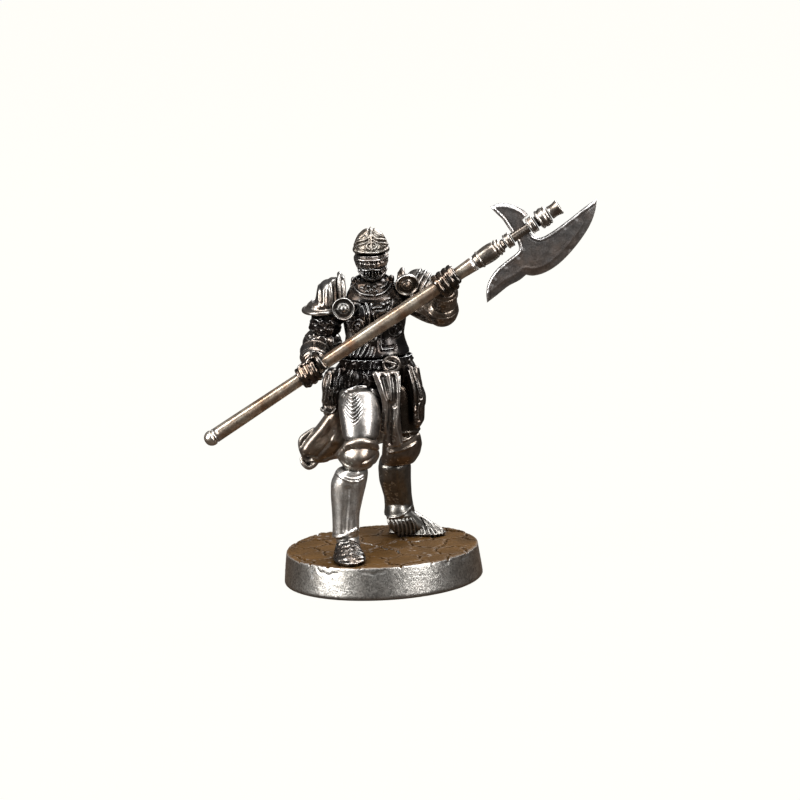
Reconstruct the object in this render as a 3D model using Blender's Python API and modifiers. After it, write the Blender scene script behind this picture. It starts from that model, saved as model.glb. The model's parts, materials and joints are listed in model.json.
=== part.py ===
"""Cast metal knight with a halberd, on a round gaming base.

The figure is modelled in the frame of its base: the origin is the centre of the underside,
+Z is up and the knight faces -Y. Left and right are the knight's own, so right is at -X.
Section tables are in millimetres; every other value is in metres.
"""

import math

import bmesh
import bpy
from mathutils import Matrix, Vector

MM = 0.001
UP = Vector((0, 0, 1))


def mm(x, y, z):
    """Give a point that is written in millimetres in metres."""
    return Vector((x, y, z)) * MM


# Driving dimensions
BASE_RADIUS = 12.5 * MM
BASE_TOP_RADIUS = 11.9 * MM
BASE_HEIGHT = 4.2 * MM
BASE_EDGE = 0.25 * MM
GAP = 0.08 * MM
SIDES = 14
ROUND = 20

PIN_RADIUS = 0.4 * MM
PIN_CLEARANCE = 0.05 * MM

# Levels at which the leg and body castings meet, in millimetres
ANKLE = 6.9
SOLE = 4.2 + 0.08
RIGHT_KNEE_BOTTOM, RIGHT_KNEE_TOP = 15.3, 18.9
LEFT_KNEE_BOTTOM, LEFT_KNEE_TOP = 14.3, 18.2
HIP = 24.8
BELT_BOTTOM, BELT_TOP = 27.3, 28.7
NECK = 37.2
SPLIT = 0.08

# The halberd lies in a plane in front of the chest, from its butt up to its tip
HAFT_BUTT = mm(-21.1, -5.5, 19.7)
HAFT_ANGLE = math.radians(31.0)
HAFT_RADIUS = 0.8 * MM
HAFT_LENGTH = 40.1
HAFT_AXIS = Vector((math.cos(HAFT_ANGLE), 0, math.sin(HAFT_ANGLE)))
HAFT_SIDE = Vector((-math.sin(HAFT_ANGLE), 0, math.cos(HAFT_ANGLE)))
BLADE_THICKNESS = 0.7 * MM
HEAD_START = 44.6
SHAFT_LENGTH = 2.37

HEAD_CENTRE = mm(0.6, -0.5, 0)
HEAD_TURN = math.radians(-10)

# Where each shoulder dome ends and the sleeve of plates under it begins
RIGHT_DOME_FLOOR = 33.95
LEFT_DOME_START = mm(4.6, 0.9, 37.6)
LEFT_DOME_AXIS = Vector((4.1, -1.0, -3.2)).normalized()
LEFT_DOME_REACH = 3.2

FINISHES = {
    "pewter": ((0.32, 0.31, 0.29), 0.34),
    "blackened": ((0.10, 0.10, 0.105), 0.45),
    "bronze": ((0.36, 0.25, 0.16), 0.36),
    "polished": ((0.62, 0.62, 0.60), 0.25),
    "steel": ((0.50, 0.50, 0.50), 0.30),
}


def reset_scene():
    """Empty the scene and return the collections for the figure's parts and their cutters."""
    for item in list(bpy.data.objects):
        bpy.data.objects.remove(item, do_unlink=True)
    collections = []
    for name in ("knight_with_halberd", "cutters"):
        collection = bpy.data.collections.new(name)
        bpy.context.scene.collection.children.link(collection)
        collections.append(collection)
    return collections


PARTS, CUTTERS = reset_scene()


def paint(piece, finish):
    """Give a piece its own metal."""
    colour, roughness = FINISHES[finish]
    material = bpy.data.materials.new(f"{piece.name}_{finish}")
    material.use_nodes = True
    shader = material.node_tree.nodes["Principled BSDF"]
    shader.inputs["Base Color"].default_value = (*colour, 1)
    shader.inputs["Roughness"].default_value = roughness
    shader.inputs["Metallic"].default_value = 1
    piece.data.materials.append(material)


def add_mesh(name, finish, mesh, collection=PARTS):
    """Turn a bmesh into a named, smooth-shaded object."""
    bmesh.ops.recalc_face_normals(mesh, faces=mesh.faces)
    data = bpy.data.meshes.new(name)
    mesh.to_mesh(data)
    mesh.free()
    data.shade_smooth()
    data.set_sharp_from_angle(angle=math.radians(50))
    piece = bpy.data.objects.new(name, data)
    collection.objects.link(piece)
    if finish:
        paint(piece, finish)
    return piece


def skin(name, finish, rings, collection=PARTS):
    """Close a row of point rings into one body with flat ends."""
    mesh = bmesh.new()
    rows = [[mesh.verts.new(point) for point in ring] for ring in rings]
    for lower, upper in zip(rows, rows[1:]):
        for step in range(len(lower)):
            after = (step + 1) % len(lower)
            mesh.faces.new((lower[step], lower[after], upper[after], upper[step]))
    mesh.faces.new(rows[0])
    mesh.faces.new(rows[-1])
    return add_mesh(name, finish, mesh, collection)


def stack(name, finish, levels, sides=SIDES, collection=PARTS):
    """Skin level sections, each (x, y, z, half width, depth in front, depth behind) in mm."""
    rings = []
    for x, y, z, half, front, back in levels:
        ring = []
        for step in range(sides):
            angle = 2 * math.pi * (step + 0.5) / sides
            depth = back if math.sin(angle) > 0 else front
            ring.append(mm(x + half * math.cos(angle), y + depth * math.sin(angle), z))
        rings.append(ring)
    return skin(name, finish, rings, collection)


def limb(name, finish, start, axis, levels, sides=SIDES, square=1.0, collection=PARTS):
    """Skin sections square to an axis, each (distance, half width, half height) in mm.

    square below 1 fattens the corners of the oval.
    """
    across = axis.cross(UP).normalized()
    upward = across.cross(axis).normalized()
    rings = []
    for distance, half, height in levels:
        ring = []
        for step in range(sides):
            angle = 2 * math.pi * (step + 0.5) / sides
            wide = math.copysign(abs(math.cos(angle)) ** square, math.cos(angle)) * half
            tall = math.copysign(abs(math.sin(angle)) ** square, math.sin(angle)) * height
            ring.append(start + (axis * distance + across * wide + upward * tall) * MM)
        rings.append(ring)
    return skin(name, finish, rings, collection)


def trim(piece, point, normal):
    """Cut a piece flat at a plane and drop the side that the normal points to."""
    mesh = bmesh.new()
    mesh.from_mesh(piece.data)
    everything = mesh.verts[:] + mesh.edges[:] + mesh.faces[:]
    bmesh.ops.bisect_plane(
        mesh, geom=everything, dist=1e-8, plane_co=point, plane_no=normal, clear_outer=True
    )
    rim = [edge for edge in mesh.edges if edge.is_boundary]
    bmesh.ops.holes_fill(mesh, edges=rim)
    bmesh.ops.recalc_face_normals(mesh, faces=mesh.faces)
    mesh.to_mesh(piece.data)
    mesh.free()


def cut(piece, cutter):
    """Take a cutter's shape out of a piece."""
    cutter.hide_render = True
    cutter.display_type = "WIRE"
    difference = piece.modifiers.new(cutter.name, "BOOLEAN")
    difference.operation = "DIFFERENCE"
    difference.object = cutter


def rod(name, finish, start, end, radius, sides=ROUND, collection=PARTS):
    """Make a straight round rod between two points."""
    mesh = bmesh.new()
    bmesh.ops.create_cone(
        mesh, cap_ends=True, segments=sides, radius1=radius, radius2=radius, depth=(end - start).length
    )
    turn = UP.rotation_difference(end - start).to_matrix().to_4x4()
    mesh.transform(Matrix.Translation((start + end) / 2) @ turn)
    return add_mesh(name, finish, mesh, collection)


def pin(name, start, end, hosts, radius=PIN_RADIUS):
    """Make a steel pin and bore a clearance hole for it in each casting it joins."""
    rod(name, "steel", start, end, radius, sides=12)
    reach = (end - start).normalized() * PIN_CLEARANCE
    for host in hosts:
        bore = f"{name}_bore_{host.name}"
        wide = radius + PIN_CLEARANCE
        cut(host, rod(bore, None, start - reach, end + reach, wide, sides=12, collection=CUTTERS))


def turned(name, finish, origin, axis, profile, steps=ROUND):
    """Screw a profile of (radius, height) pairs in mm, top to bottom, about an axis."""
    data = bpy.data.meshes.new(name)
    points = [mm(radius, 0, height) for radius, height in profile]
    data.from_pydata(points, [(step, step + 1) for step in range(len(points) - 1)], [])
    piece = bpy.data.objects.new(name, data)
    PARTS.objects.link(piece)
    piece.location = origin
    piece.rotation_mode = "QUATERNION"
    piece.rotation_quaternion = UP.rotation_difference(axis)
    screw = piece.modifiers.new("turn", "SCREW")
    screw.steps = steps
    screw.render_steps = steps
    screw.use_merge_vertices = True
    screw.merge_threshold = 1e-6
    screw.use_smooth_shade = True
    paint(piece, finish)
    return piece


def on_haft(along, aside=0.0):
    """Give the point at a distance along the haft from its butt, and aside from it, in mm."""
    return HAFT_BUTT + (HAFT_AXIS * along + HAFT_SIDE * aside) * MM


# Base and legs


def make_base():
    """Turn the round base, a little narrower at its top."""
    top = BASE_HEIGHT / MM
    edge = BASE_EDGE / MM
    wide = BASE_RADIUS / MM
    narrow = BASE_TOP_RADIUS / MM
    profile = [(0, top), (narrow - edge, top), (narrow, top - edge), (wide, edge), (wide - edge, 0), (0, 0)]
    return turned("base", "polished", mm(0, 0, 0), UP, profile, steps=48)


def make_sabaton(side, heel, toe, length):
    """Loft an armoured shoe, flat on the base, from heel to toe."""
    axis = (toe - heel).normalized()
    levels = [
        (0.0, 0.9, 1.3),
        (0.25, 1.25, 2.45),
        (0.32, 1.45, 2.5),
        (0.48, 1.5, 1.95),
        (0.68, 1.6, 1.45),
        (0.85, 1.35, 1.0),
        (1.0, 0.45, 0.45),
    ]
    rows = [(share * length, half, height) for share, half, height in levels]
    shoe = limb(f"{side}_sabaton", "pewter", heel, axis, rows)
    trim(shoe, mm(0, 0, SOLE), -UP)
    trim(shoe, mm(0, 0, ANKLE - SPLIT), UP)
    return shoe


def make_right_leg():
    """Stack the leg that stands forward: greave, poleyn and cuisse."""
    greave = [
        (-4.4, -5.0, ANKLE, 1.65, 1.6, 1.5),
        (-4.35, -5.0, 7.7, 1.55, 1.5, 1.5),
        (-4.25, -5.0, 9.7, 1.6, 1.5, 1.7),
        (-3.95, -4.9, 12.0, 1.95, 1.75, 2.2),
        (-3.65, -4.9, 13.7, 2.15, 1.9, 2.3),
        (-3.1, -4.9, RIGHT_KNEE_BOTTOM, 1.9, 1.9, 2.0),
    ]
    poleyn = [
        (-2.5, -5.0, RIGHT_KNEE_BOTTOM + SPLIT, 1.65, 1.9, 1.7),
        (-2.35, -5.2, 16.3, 2.1, 2.2, 2.0),
        (-2.3, -5.3, 17.3, 2.2, 2.3, 2.0),
        (-2.0, -5.2, 18.2, 2.1, 2.2, 2.0),
        (-1.8, -4.9, RIGHT_KNEE_TOP, 2.0, 2.1, 1.9),
    ]
    cuisse = [
        (-1.65, -4.5, RIGHT_KNEE_TOP + SPLIT, 1.85, 2.0, 1.9),
        (-1.55, -3.8, 21.2, 2.2, 2.2, 2.1),
        (-1.5, -2.9, 23.0, 2.4, 2.3, 2.3),
        (-1.45, -2.0, HIP, 2.2, 2.2, 2.3),
    ]
    names = ("right_greave", "right_poleyn", "right_cuisse")
    for name, levels in zip(names, (greave, poleyn, cuisse)):
        stack(name, "pewter", levels)


def make_left_leg():
    """Stack the leg that stands back: greave, poleyn and cuisse."""
    greave = [
        (2.4, 5.9, ANKLE, 1.95, 1.7, 1.5),
        (2.4, 5.5, 7.9, 1.75, 1.6, 1.5),
        (2.3, 4.6, 9.6, 1.65, 1.6, 1.8),
        (2.05, 3.4, 11.9, 1.9, 1.8, 2.3),
        (2.1, 2.6, LEFT_KNEE_BOTTOM, 2.0, 1.9, 2.1),
    ]
    poleyn = [
        (2.5, 2.1, LEFT_KNEE_BOTTOM + SPLIT, 2.0, 2.0, 1.8),
        (3.0, 1.6, 15.6, 2.3, 2.3, 1.9),
        (3.2, 1.4, 16.8, 2.4, 2.3, 1.9),
        (3.25, 1.2, LEFT_KNEE_TOP, 2.15, 2.1, 1.8),
    ]
    cuisse = [
        (3.3, 1.0, LEFT_KNEE_TOP + SPLIT, 2.05, 2.0, 1.9),
        (3.4, 0.8, 20.6, 2.15, 2.1, 2.1),
        (3.3, 0.6, 23.0, 2.1, 2.2, 2.2),
        (3.1, 0.5, HIP, 1.95, 2.1, 2.2),
    ]
    names = ("left_greave", "left_poleyn", "left_cuisse")
    for name, levels in zip(names, (greave, poleyn, cuisse)):
        stack(name, "pewter", levels)


def make_feet(base):
    """Stand both shoes on the base and pin them to it."""
    shoes = (
        ("right", mm(-4.45, -3.4, SOLE), mm(-3.75, -11.0, SOLE), 7.6, mm(-4.3, -5.4, 0)),
        ("left", mm(1.3, 7.0, SOLE), mm(7.6, 4.4, SOLE), 7.2, mm(2.9, 6.3, 0)),
    )
    for side, heel, toe, length, spot in shoes:
        shoe = make_sabaton(side, heel, toe, length)
        pin(f"{side}_foot_pin", spot + mm(0, 0, 2.4), spot + mm(0, 0, 5.6), (base, shoe))


# Hips, belt and cloth


def make_hips():
    """Stack the fauld, the skirt of plates that the belt goes round."""
    levels = [
        (0.5, 0.0, HIP + SPLIT, 3.7, 3.1, 3.1),
        (0.5, 0.0, 26.2, 4.0, 3.2, 3.2),
        (0.5, 0.0, BELT_BOTTOM, 4.2, 3.2, 3.2),
        (0.5, 0.0, BELT_TOP, 4.1, 3.1, 3.1),
    ]
    return stack("fauld", "blackened", levels, sides=20)


def make_belt():
    """Make the waist belt as a band with the fauld inside it."""
    levels = [
        (0.5, 0.0, BELT_BOTTOM, 4.65, 3.65, 3.65),
        (0.5, 0.0, BELT_TOP, 4.55, 3.55, 3.55),
    ]
    belt = stack("belt", "blackened", levels, sides=24)
    bore = [
        (0.5, 0.0, BELT_BOTTOM - 0.5, 4.33, 3.33, 3.33),
        (0.5, 0.0, BELT_TOP + 0.5, 4.33, 3.33, 3.33),
    ]
    cut(belt, stack("belt_bore", None, bore, sides=24, collection=CUTTERS))


def make_buckle():
    """Set the round buckle against the front of the belt, with its tongue across the ring."""
    centre = mm(2.4, -3.95, 28.0)
    bpy.ops.mesh.primitive_torus_add(
        major_radius=0.85 * MM, minor_radius=0.22 * MM, major_segments=24, minor_segments=8
    )
    ring = bpy.context.object
    ring.name = "belt_buckle"
    ring.data.transform(Matrix.Translation(centre) @ Matrix.Rotation(math.pi / 2, 4, "X"))
    for collection in list(ring.users_collection):
        collection.objects.unlink(ring)
    PARTS.objects.link(ring)
    ring.data.shade_smooth()
    paint(ring, "pewter")
    reach = mm(0.85, 0, 0)
    bar = rod("buckle_tongue", None, centre - reach, centre + reach, 0.14 * MM, 8, CUTTERS)
    bar.hide_render = True
    bar.display_type = "WIRE"
    union = ring.modifiers.new("tongue", "BOOLEAN")
    union.operation = "UNION"
    union.object = bar


def make_hip_drapes():
    """Hang the bunched cloth at each hip from below the belt."""
    right = [
        (-5.0, 0.4, 27.1, 0.6, 1.0, 1.2),
        (-5.2, 0.2, 25.2, 1.0, 1.5, 1.6),
        (-5.3, 0.0, 23.2, 1.15, 1.7, 1.6),
        (-5.7, -0.2, 21.9, 0.8, 1.2, 1.2),
        (-6.0, -0.3, 21.3, 0.3, 0.5, 0.5),
    ]
    left = [
        (5.3, -0.9, 27.1, 0.45, 0.7, 0.7),
        (5.4, -1.2, 24.6, 0.7, 0.9, 0.9),
        (5.5, -1.6, 22.2, 0.75, 1.0, 0.8),
        (5.4, -1.8, 20.4, 0.7, 0.8, 0.8),
        (5.1, -1.9, 19.4, 0.3, 0.4, 0.4),
    ]
    stack("right_hip_drape", "blackened", right, sides=12)
    stack("left_hip_drape", "blackened", left, sides=12)


def make_loincloth():
    """Hang the long front panel between the thighs."""
    levels = [
        (1.5, -3.5, 27.15, 1.5, 0.35, 0.25),
        (2.0, -3.6, 24.5, 1.1, 0.45, 0.35),
        (2.05, -3.2, 21.0, 0.95, 0.5, 0.4),
        (2.1, -2.6, 17.4, 1.05, 0.5, 0.4),
    ]
    stack("loincloth", "blackened", levels, sides=12)


def make_coat_tail():
    """Hang the coat's skirt behind the legs, with its right corner blown out to the side."""
    rows = [
        [(-4.3, 2.6), (-2.2, 3.9), (0.5, 4.3), (3.0, 4.0), (4.6, 2.9)],
        [(-4.5, 3.1), (-2.3, 4.0), (0.5, 4.4), (3.1, 4.1), (4.9, 3.2)],
        [(-5.9, 3.2), (-3.0, 3.9), (0.3, 4.5), (3.4, 4.4), (5.3, 3.7)],
        [(-10.7, 3.0), (-5.2, 3.2), (-0.6, 4.6), (3.4, 4.8), (5.5, 4.2)],
        [(-9.8, 2.9), (-5.4, 2.8), (-1.2, 4.7), (3.4, 5.0), (5.5, 4.6)],
    ]
    heights = [
        (27.0, 27.0, 27.0, 27.0, 27.0),
        (24.0, 24.0, 24.0, 24.0, 24.0),
        (20.4, 20.8, 20.8, 20.8, 20.8),
        (17.5, 17.0, 18.2, 18.8, 18.8),
        (13.6, 14.6, 15.8, 16.6, 16.6),
    ]
    mesh = bmesh.new()
    grid = []
    for row, levels in zip(rows, heights):
        grid.append([mesh.verts.new(mm(x, y, z)) for (x, y), z in zip(row, levels)])
    for upper, lower in zip(grid, grid[1:]):
        for step in range(len(upper) - 1):
            mesh.faces.new((upper[step], lower[step], lower[step + 1], upper[step + 1]))
    tail = add_mesh("coat_tail", "blackened", mesh)
    thick = tail.modifiers.new("thickness", "SOLIDIFY")
    thick.thickness = 0.6 * MM
    thick.offset = 0
    soft = tail.modifiers.new("round", "SUBSURF")
    soft.levels = 1
    soft.render_levels = 1


# Body and head


def make_cuirass():
    """Stack the body armour and part it into a breastplate and a backplate."""
    levels = [
        (0.5, 0.0, BELT_TOP + SPLIT, 4.35, 3.2, 3.2),
        (0.5, 0.0, 29.8, 3.95, 2.8, 2.8),
        (0.5, 0.0, 31.2, 3.65, 2.6, 2.5),
        (0.55, 0.0, 32.7, 3.9, 3.0, 2.6),
        (0.65, 0.0, 34.2, 4.1, 3.3, 2.8),
        (0.8, 0.1, 35.4, 3.9, 3.0, 2.8),
        (0.85, 0.2, 36.4, 3.4, 2.5, 2.4),
        (0.8, 0.2, NECK, 2.3, 1.9, 1.7),
    ]
    half_gap = Vector((0, GAP / 2, 0))
    breast = stack("breastplate", "blackened", levels, sides=20)
    trim(breast, -half_gap, Vector((0, 1, 0)))
    back = stack("backplate", "blackened", levels, sides=20)
    trim(back, half_gap, Vector((0, -1, 0)))
    return breast, back


def make_gorget():
    """Stack the collar that the helmet stands on."""
    levels = [
        (0.6, -0.1, NECK + SPLIT, 2.4, 2.1, 1.9),
        (0.6, -0.1, 37.65, 2.5, 2.2, 1.9),
        (0.6, -0.3, 38.05, 1.7, 1.7, 1.6),
        (0.6, -0.4, 38.3, 1.5, 1.6, 1.5),
    ]
    return stack("gorget", "blackened", levels, sides=16)


def make_head():
    """Make the closed helmet about an empty that turns the head."""
    head = bpy.data.objects.new("head", None)
    PARTS.objects.link(head)
    head.location = HEAD_CENTRE
    head.rotation_euler.z = HEAD_TURN
    levels = [
        (0.0, 0.0, 38.38, 1.1, 1.7, 1.5),
        (0.0, 0.0, 39.0, 1.45, 2.2, 1.8),
        (0.0, 0.0, 39.8, 1.75, 2.35, 2.0),
        (0.0, 0.0, 40.6, 2.0, 2.4, 2.2),
        (0.0, 0.0, 41.4, 2.15, 2.4, 2.3),
        (0.0, 0.0, 42.3, 2.2, 2.35, 2.35),
        (0.0, 0.0, 43.1, 1.95, 2.1, 2.1),
        (0.0, 0.0, 43.9, 1.5, 1.6, 1.6),
        (0.0, 0.0, 44.55, 0.7, 0.75, 0.75),
    ]
    brow, lip = 41.45, 39.85
    part_line = mm(0, -0.5, 0)
    front = Vector((0, -1, 0))
    skull = stack("helmet_skull", "pewter", levels, sides=16)
    face = bmesh.new()
    bmesh.ops.create_cube(face, size=1)
    face.transform(Matrix.Translation(mm(0, -3.5, brow - 3)) @ Matrix.Diagonal((*mm(8, 6, 6), 1)))
    opening = add_mesh("face_opening", None, face, CUTTERS)
    cut(skull, opening)
    visor = stack("visor", "pewter", levels, sides=16)
    bevor = stack("bevor", "pewter", levels, sides=16)
    for plate, bottom, top in ((visor, lip + SPLIT, brow - SPLIT), (bevor, 38.38, lip)):
        trim(plate, part_line + front * GAP, -front)
        trim(plate, mm(0, 0, top), UP)
        if plate is visor:
            trim(plate, mm(0, 0, bottom), -UP)
    for side, sign in (("right", -1), ("left", 1)):
        inner = mm(sign * 2.26, 0.0, 42.0)
        pivot = rod(f"{side}_visor_pivot", "pewter", inner, inner + mm(sign * 0.2, 0, 0), 0.42 * MM, 12)
        pivot.parent = head
    for piece in (skull, opening, visor, bevor):
        piece.parent = head
    return skull


# Shoulders and arms


def make_shoulders():
    """Make the shoulder domes, the upright guards beside the neck and the round besagews."""
    right_dome = [
        (-5.9, 0.4, RIGHT_DOME_FLOOR, 2.1, 2.5, 2.5),
        (-5.9, 0.4, 34.6, 2.35, 2.7, 2.7),
        (-5.5, 0.4, 35.7, 1.8, 2.4, 2.4),
        (-5.2, 0.4, 36.9, 1.6, 2.1, 2.1),
        (-4.9, 0.4, 37.8, 1.3, 1.6, 1.6),
        (-4.7, 0.4, 38.25, 0.8, 0.9, 0.9),
    ]
    right = stack("right_pauldron", "pewter", right_dome)
    trim(right, mm(-3.98, 0, 0), Vector((1, 0, 0)))
    left_dome = [
        (0.0, 1.5, 1.5), (0.5, 2.1, 2.1), (1.4, 2.5, 2.5), (2.5, 2.4, 2.4), (LEFT_DOME_REACH, 2.0, 2.0),
    ]
    left = limb("left_pauldron", "pewter", LEFT_DOME_START, LEFT_DOME_AXIS, left_dome)
    trim(left, mm(4.85, 0, 0), Vector((-1, 0, 0)))
    guards = (
        ("right_haute_piece", -3.5, 35.4, 39.1),
        ("left_haute_piece", 4.35, 36.9, 39.3),
    )
    for name, x, bottom, top in guards:
        middle = (bottom + top) / 2
        levels = [
            (x, 0.3, bottom, 0.36, 1.6, 1.6),
            (x, 0.3, middle, 0.38, 1.7, 1.7),
            (x, 0.3, top - 0.4, 0.3, 1.1, 1.1),
            (x, 0.3, top, 0.15, 0.5, 0.5),
        ]
        guard = stack(name, "pewter", levels, sides=10)
        if name.startswith("right"):
            right_guard = guard
    disc = [
        (0, 0.95), (0.35, 0.9), (0.6, 0.75), (0.72, 0.45), (1.05, 0.4), (1.15, 0.55),
        (1.42, 0.5), (1.42, 0.2), (0.9, 0), (0, 0),
    ]
    facing = Vector((0, -1, 0))
    turned("right_besagew", "pewter", mm(-3.15, -2.55, 35.1), facing, disc, steps=24)
    turned("left_besagew", "pewter", mm(4.8, -2.5, 37.75), facing, disc, steps=24)
    return right, right_guard, left


def make_arm(side, shoulder, elbow, fist, dome_edge, dome_inside):
    """Make one arm: rerebrace, couter, vambrace, gauntlet cuff and the fist round the haft.

    The rerebrace is cut off at the dome's edge, on the side that dome_inside points to.
    """
    upper = (elbow - shoulder).normalized()
    upper_length = (elbow - shoulder).length / MM
    lower = (fist - elbow).normalized()
    lower_length = (fist - elbow).length / MM
    couter_reach = 1.6
    fist_reach = 1.75
    sleeve = [(0, 1.45, 1.45), (upper_length - couter_reach - SPLIT, 1.5, 1.5)]
    rerebrace = limb(f"{side}_rerebrace", "blackened", shoulder, upper, sleeve)
    trim(rerebrace, dome_edge, dome_inside)
    dome = [
        (-2.0, 0.5, 0.6), (-1.6, 1.4, 1.5), (-0.8, 1.95, 2.0),
        (0.2, 2.1, 2.1), (1.0, 1.9, 1.9), (1.8, 1.5, 1.5),
    ]
    couter = limb(f"{side}_couter", "pewter", elbow, lower, dome)
    trim(couter, elbow - upper * couter_reach * MM, -upper)
    trim(couter, elbow + lower * couter_reach * MM, lower)
    wrist = lower_length - fist_reach - SPLIT
    cuff_start = wrist - 1.1
    sleeve = [(couter_reach + SPLIT, 1.45, 1.45), (cuff_start - SPLIT, 1.25, 1.25)]
    limb(f"{side}_vambrace", "blackened", elbow, lower, sleeve)
    cuff = [(cuff_start, 1.65, 1.65), (cuff_start + 0.3, 1.6, 1.6), (wrist, 1.25, 1.25)]
    limb(f"{side}_gauntlet_cuff", "pewter", elbow, lower, cuff)
    knuckles = [(-1.6, 1.1, 1.1), (-1.3, 1.5, 1.45), (0, 1.7, 1.6), (1.3, 1.5, 1.45), (1.6, 1.1, 1.1)]
    hand = limb(f"{side}_gauntlet_hand", "blackened", fist, HAFT_AXIS, knuckles, square=0.75)
    trim(hand, fist - lower * fist_reach * MM, -lower)
    reach = HAFT_AXIS * 4 * MM
    grip = rod(f"{side}_grip", None, fist - reach, fist + reach, HAFT_RADIUS + GAP, 16, CUTTERS)
    cut(hand, grip)


# Halberd


def make_haft():
    """Make the long round haft, its butt cap and the tapered socket of the head."""
    rod("halberd_haft", "bronze", on_haft(1.6), on_haft(HAFT_LENGTH), HAFT_RADIUS, 16)
    cap = [(0.3, 1.6 - GAP / MM), (0.86, 1.5), (0.95, 1.0), (0.85, 0.3), (0.5, 0), (0, 0)]
    profile = [(0, 1.6 - GAP / MM)] + cap
    turned("haft_butt_cap", "bronze", on_haft(0), HAFT_AXIS, profile, steps=16)
    socket = [
        (0, 4.35), (0.6, 4.35), (0.6, 3.9), (0.9, 3.8), (0.95, 3.5), (0.85, 3.4),
        (1.05, 2.8), (1.0, 0.8), (0.9, 0.0), (0, 0),
    ]
    turned("halberd_socket", "pewter", on_haft(HAFT_LENGTH + GAP / MM), HAFT_AXIS, socket, steps=16)


def make_head_of_halberd():
    """String the collars, the shaft between them and the open tip on the halberd's head."""
    collar = [(0, 0.95), (0.8, 0.95), (1.05, 0.7), (1.05, 0.25), (0.8, 0.0), (0, 0)]
    ball = [
        (0, 1.92), (0.95, 1.92), (1.3, 1.47), (1.3, 0.77), (0.95, 0.32), (0.7, 0.3), (0.7, 0.0), (0, 0),
    ]
    tube = [(0.5, 1.5), (0.95, 1.5), (0.85, 0.9), (0.95, 0.0), (0, 0), (0, 0.5), (0.45, 0.5), (0.5, 1.5)]
    gap = GAP / MM
    length = collar[0][1]
    shaft_start = HEAD_START + length + gap
    shaft_end = shaft_start + SHAFT_LENGTH
    middle = shaft_end + gap
    upper = middle + length + gap
    turned("lower_collar", "pewter", on_haft(HEAD_START), HAFT_AXIS, collar, steps=16)
    rod("upper_shaft", "pewter", on_haft(shaft_start), on_haft(shaft_end), 0.6 * MM, 12)
    turned("middle_collar", "pewter", on_haft(middle), HAFT_AXIS, collar, steps=16)
    turned("upper_collar", "pewter", on_haft(upper), HAFT_AXIS, ball, steps=16)
    turned("haft_tip", "pewter", on_haft(upper + ball[0][1] + gap), HAFT_AXIS, tube, steps=16)


def plate(name, finish, outline, thickness):
    """Make a flat plate in the halberd's plane from (along, aside) points in mm from HEAD_START."""
    curve = bpy.data.curves.new(name, "CURVE")
    curve.dimensions = "2D"
    curve.fill_mode = "BOTH"
    curve.extrude = thickness / 2
    spline = curve.splines.new("POLY")
    spline.points.add(len(outline) - 1)
    for point, (along, aside) in zip(spline.points, outline):
        point.co = (along * MM, aside * MM, 0, 1)
    spline.use_cyclic_u = True
    piece = bpy.data.objects.new(name, curve)
    PARTS.objects.link(piece)
    piece.location = on_haft(HEAD_START)
    piece.rotation_mode = "QUATERNION"
    facing = HAFT_AXIS.cross(HAFT_SIDE)
    piece.rotation_quaternion = Matrix((HAFT_AXIS, HAFT_SIDE, facing)).transposed().to_quaternion()
    paint(piece, finish)
    return piece


def smooth(points, steps=3):
    """Run a smooth curve through outline points."""
    path = []
    for index in range(len(points) - 1):
        before = Vector(points[max(index - 1, 0)])
        start = Vector(points[index])
        end = Vector(points[index + 1])
        after = Vector(points[min(index + 2, len(points) - 1)])
        for step in range(steps):
            t = step / steps
            a = 2 * start
            b = (end - before) * t
            c = (2 * before - 5 * start + 4 * end - after) * t * t
            d = (3 * start - before - 3 * end + after) * t * t * t
            path.append((a + b + c + d) / 2)
    return path + [Vector(points[-1])]


def make_blades():
    """Cut out the crescent axe blade and the hooked back fluke."""
    upper_edge = [(3.3, -1.15), (3.9, -1.9), (5.4, -2.1), (8, -2.0), (10.4, -1.8), (12.3, -1.75)]
    cutting_edge = [
        (12.3, -1.75), (11.3, -2.9), (9.8, -4.0), (7.8, -4.9), (5.5, -5.6), (3.6, -5.9), (1.9, -5.8),
        (0.6, -5.35), (-0.1, -4.75),
    ]
    lower_edge = [(-0.1, -4.75), (-1.2, -4.85), (-2.7, -4.7), (-4.4, -4.85), (-6, -4.95)]
    inner_edge = [
        (-6, -4.95), (-5.4, -3.9), (-4.4, -2.9), (-2.8, -2.2), (-0.8, -1.95), (0.8, -1.75), (1.3, -0.7),
    ]
    outline = []
    for edge in (upper_edge, cutting_edge, lower_edge, inner_edge):
        outline += smooth(edge)[:-1]
    plate("axe_blade", "steel", outline + [(1.3, -0.7), (3.2, -0.7)], BLADE_THICKNESS)
    top = [(4.2, 1.3), (4.1, 2.1), (3.4, 3.3), (2.5, 4.2), (1.7, 4.6), (0.9, 4.7)]
    bottom = [(0.9, 4.7), (1.1, 3.6), (1.3, 2.6), (1.3, 1.6), (1.3, 0.7)]
    outline = smooth(top)[:-1] + smooth(bottom) + [(3.2, 0.7), (3.3, 1.2)]
    plate("back_fluke", "steel", outline, BLADE_THICKNESS)


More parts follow.
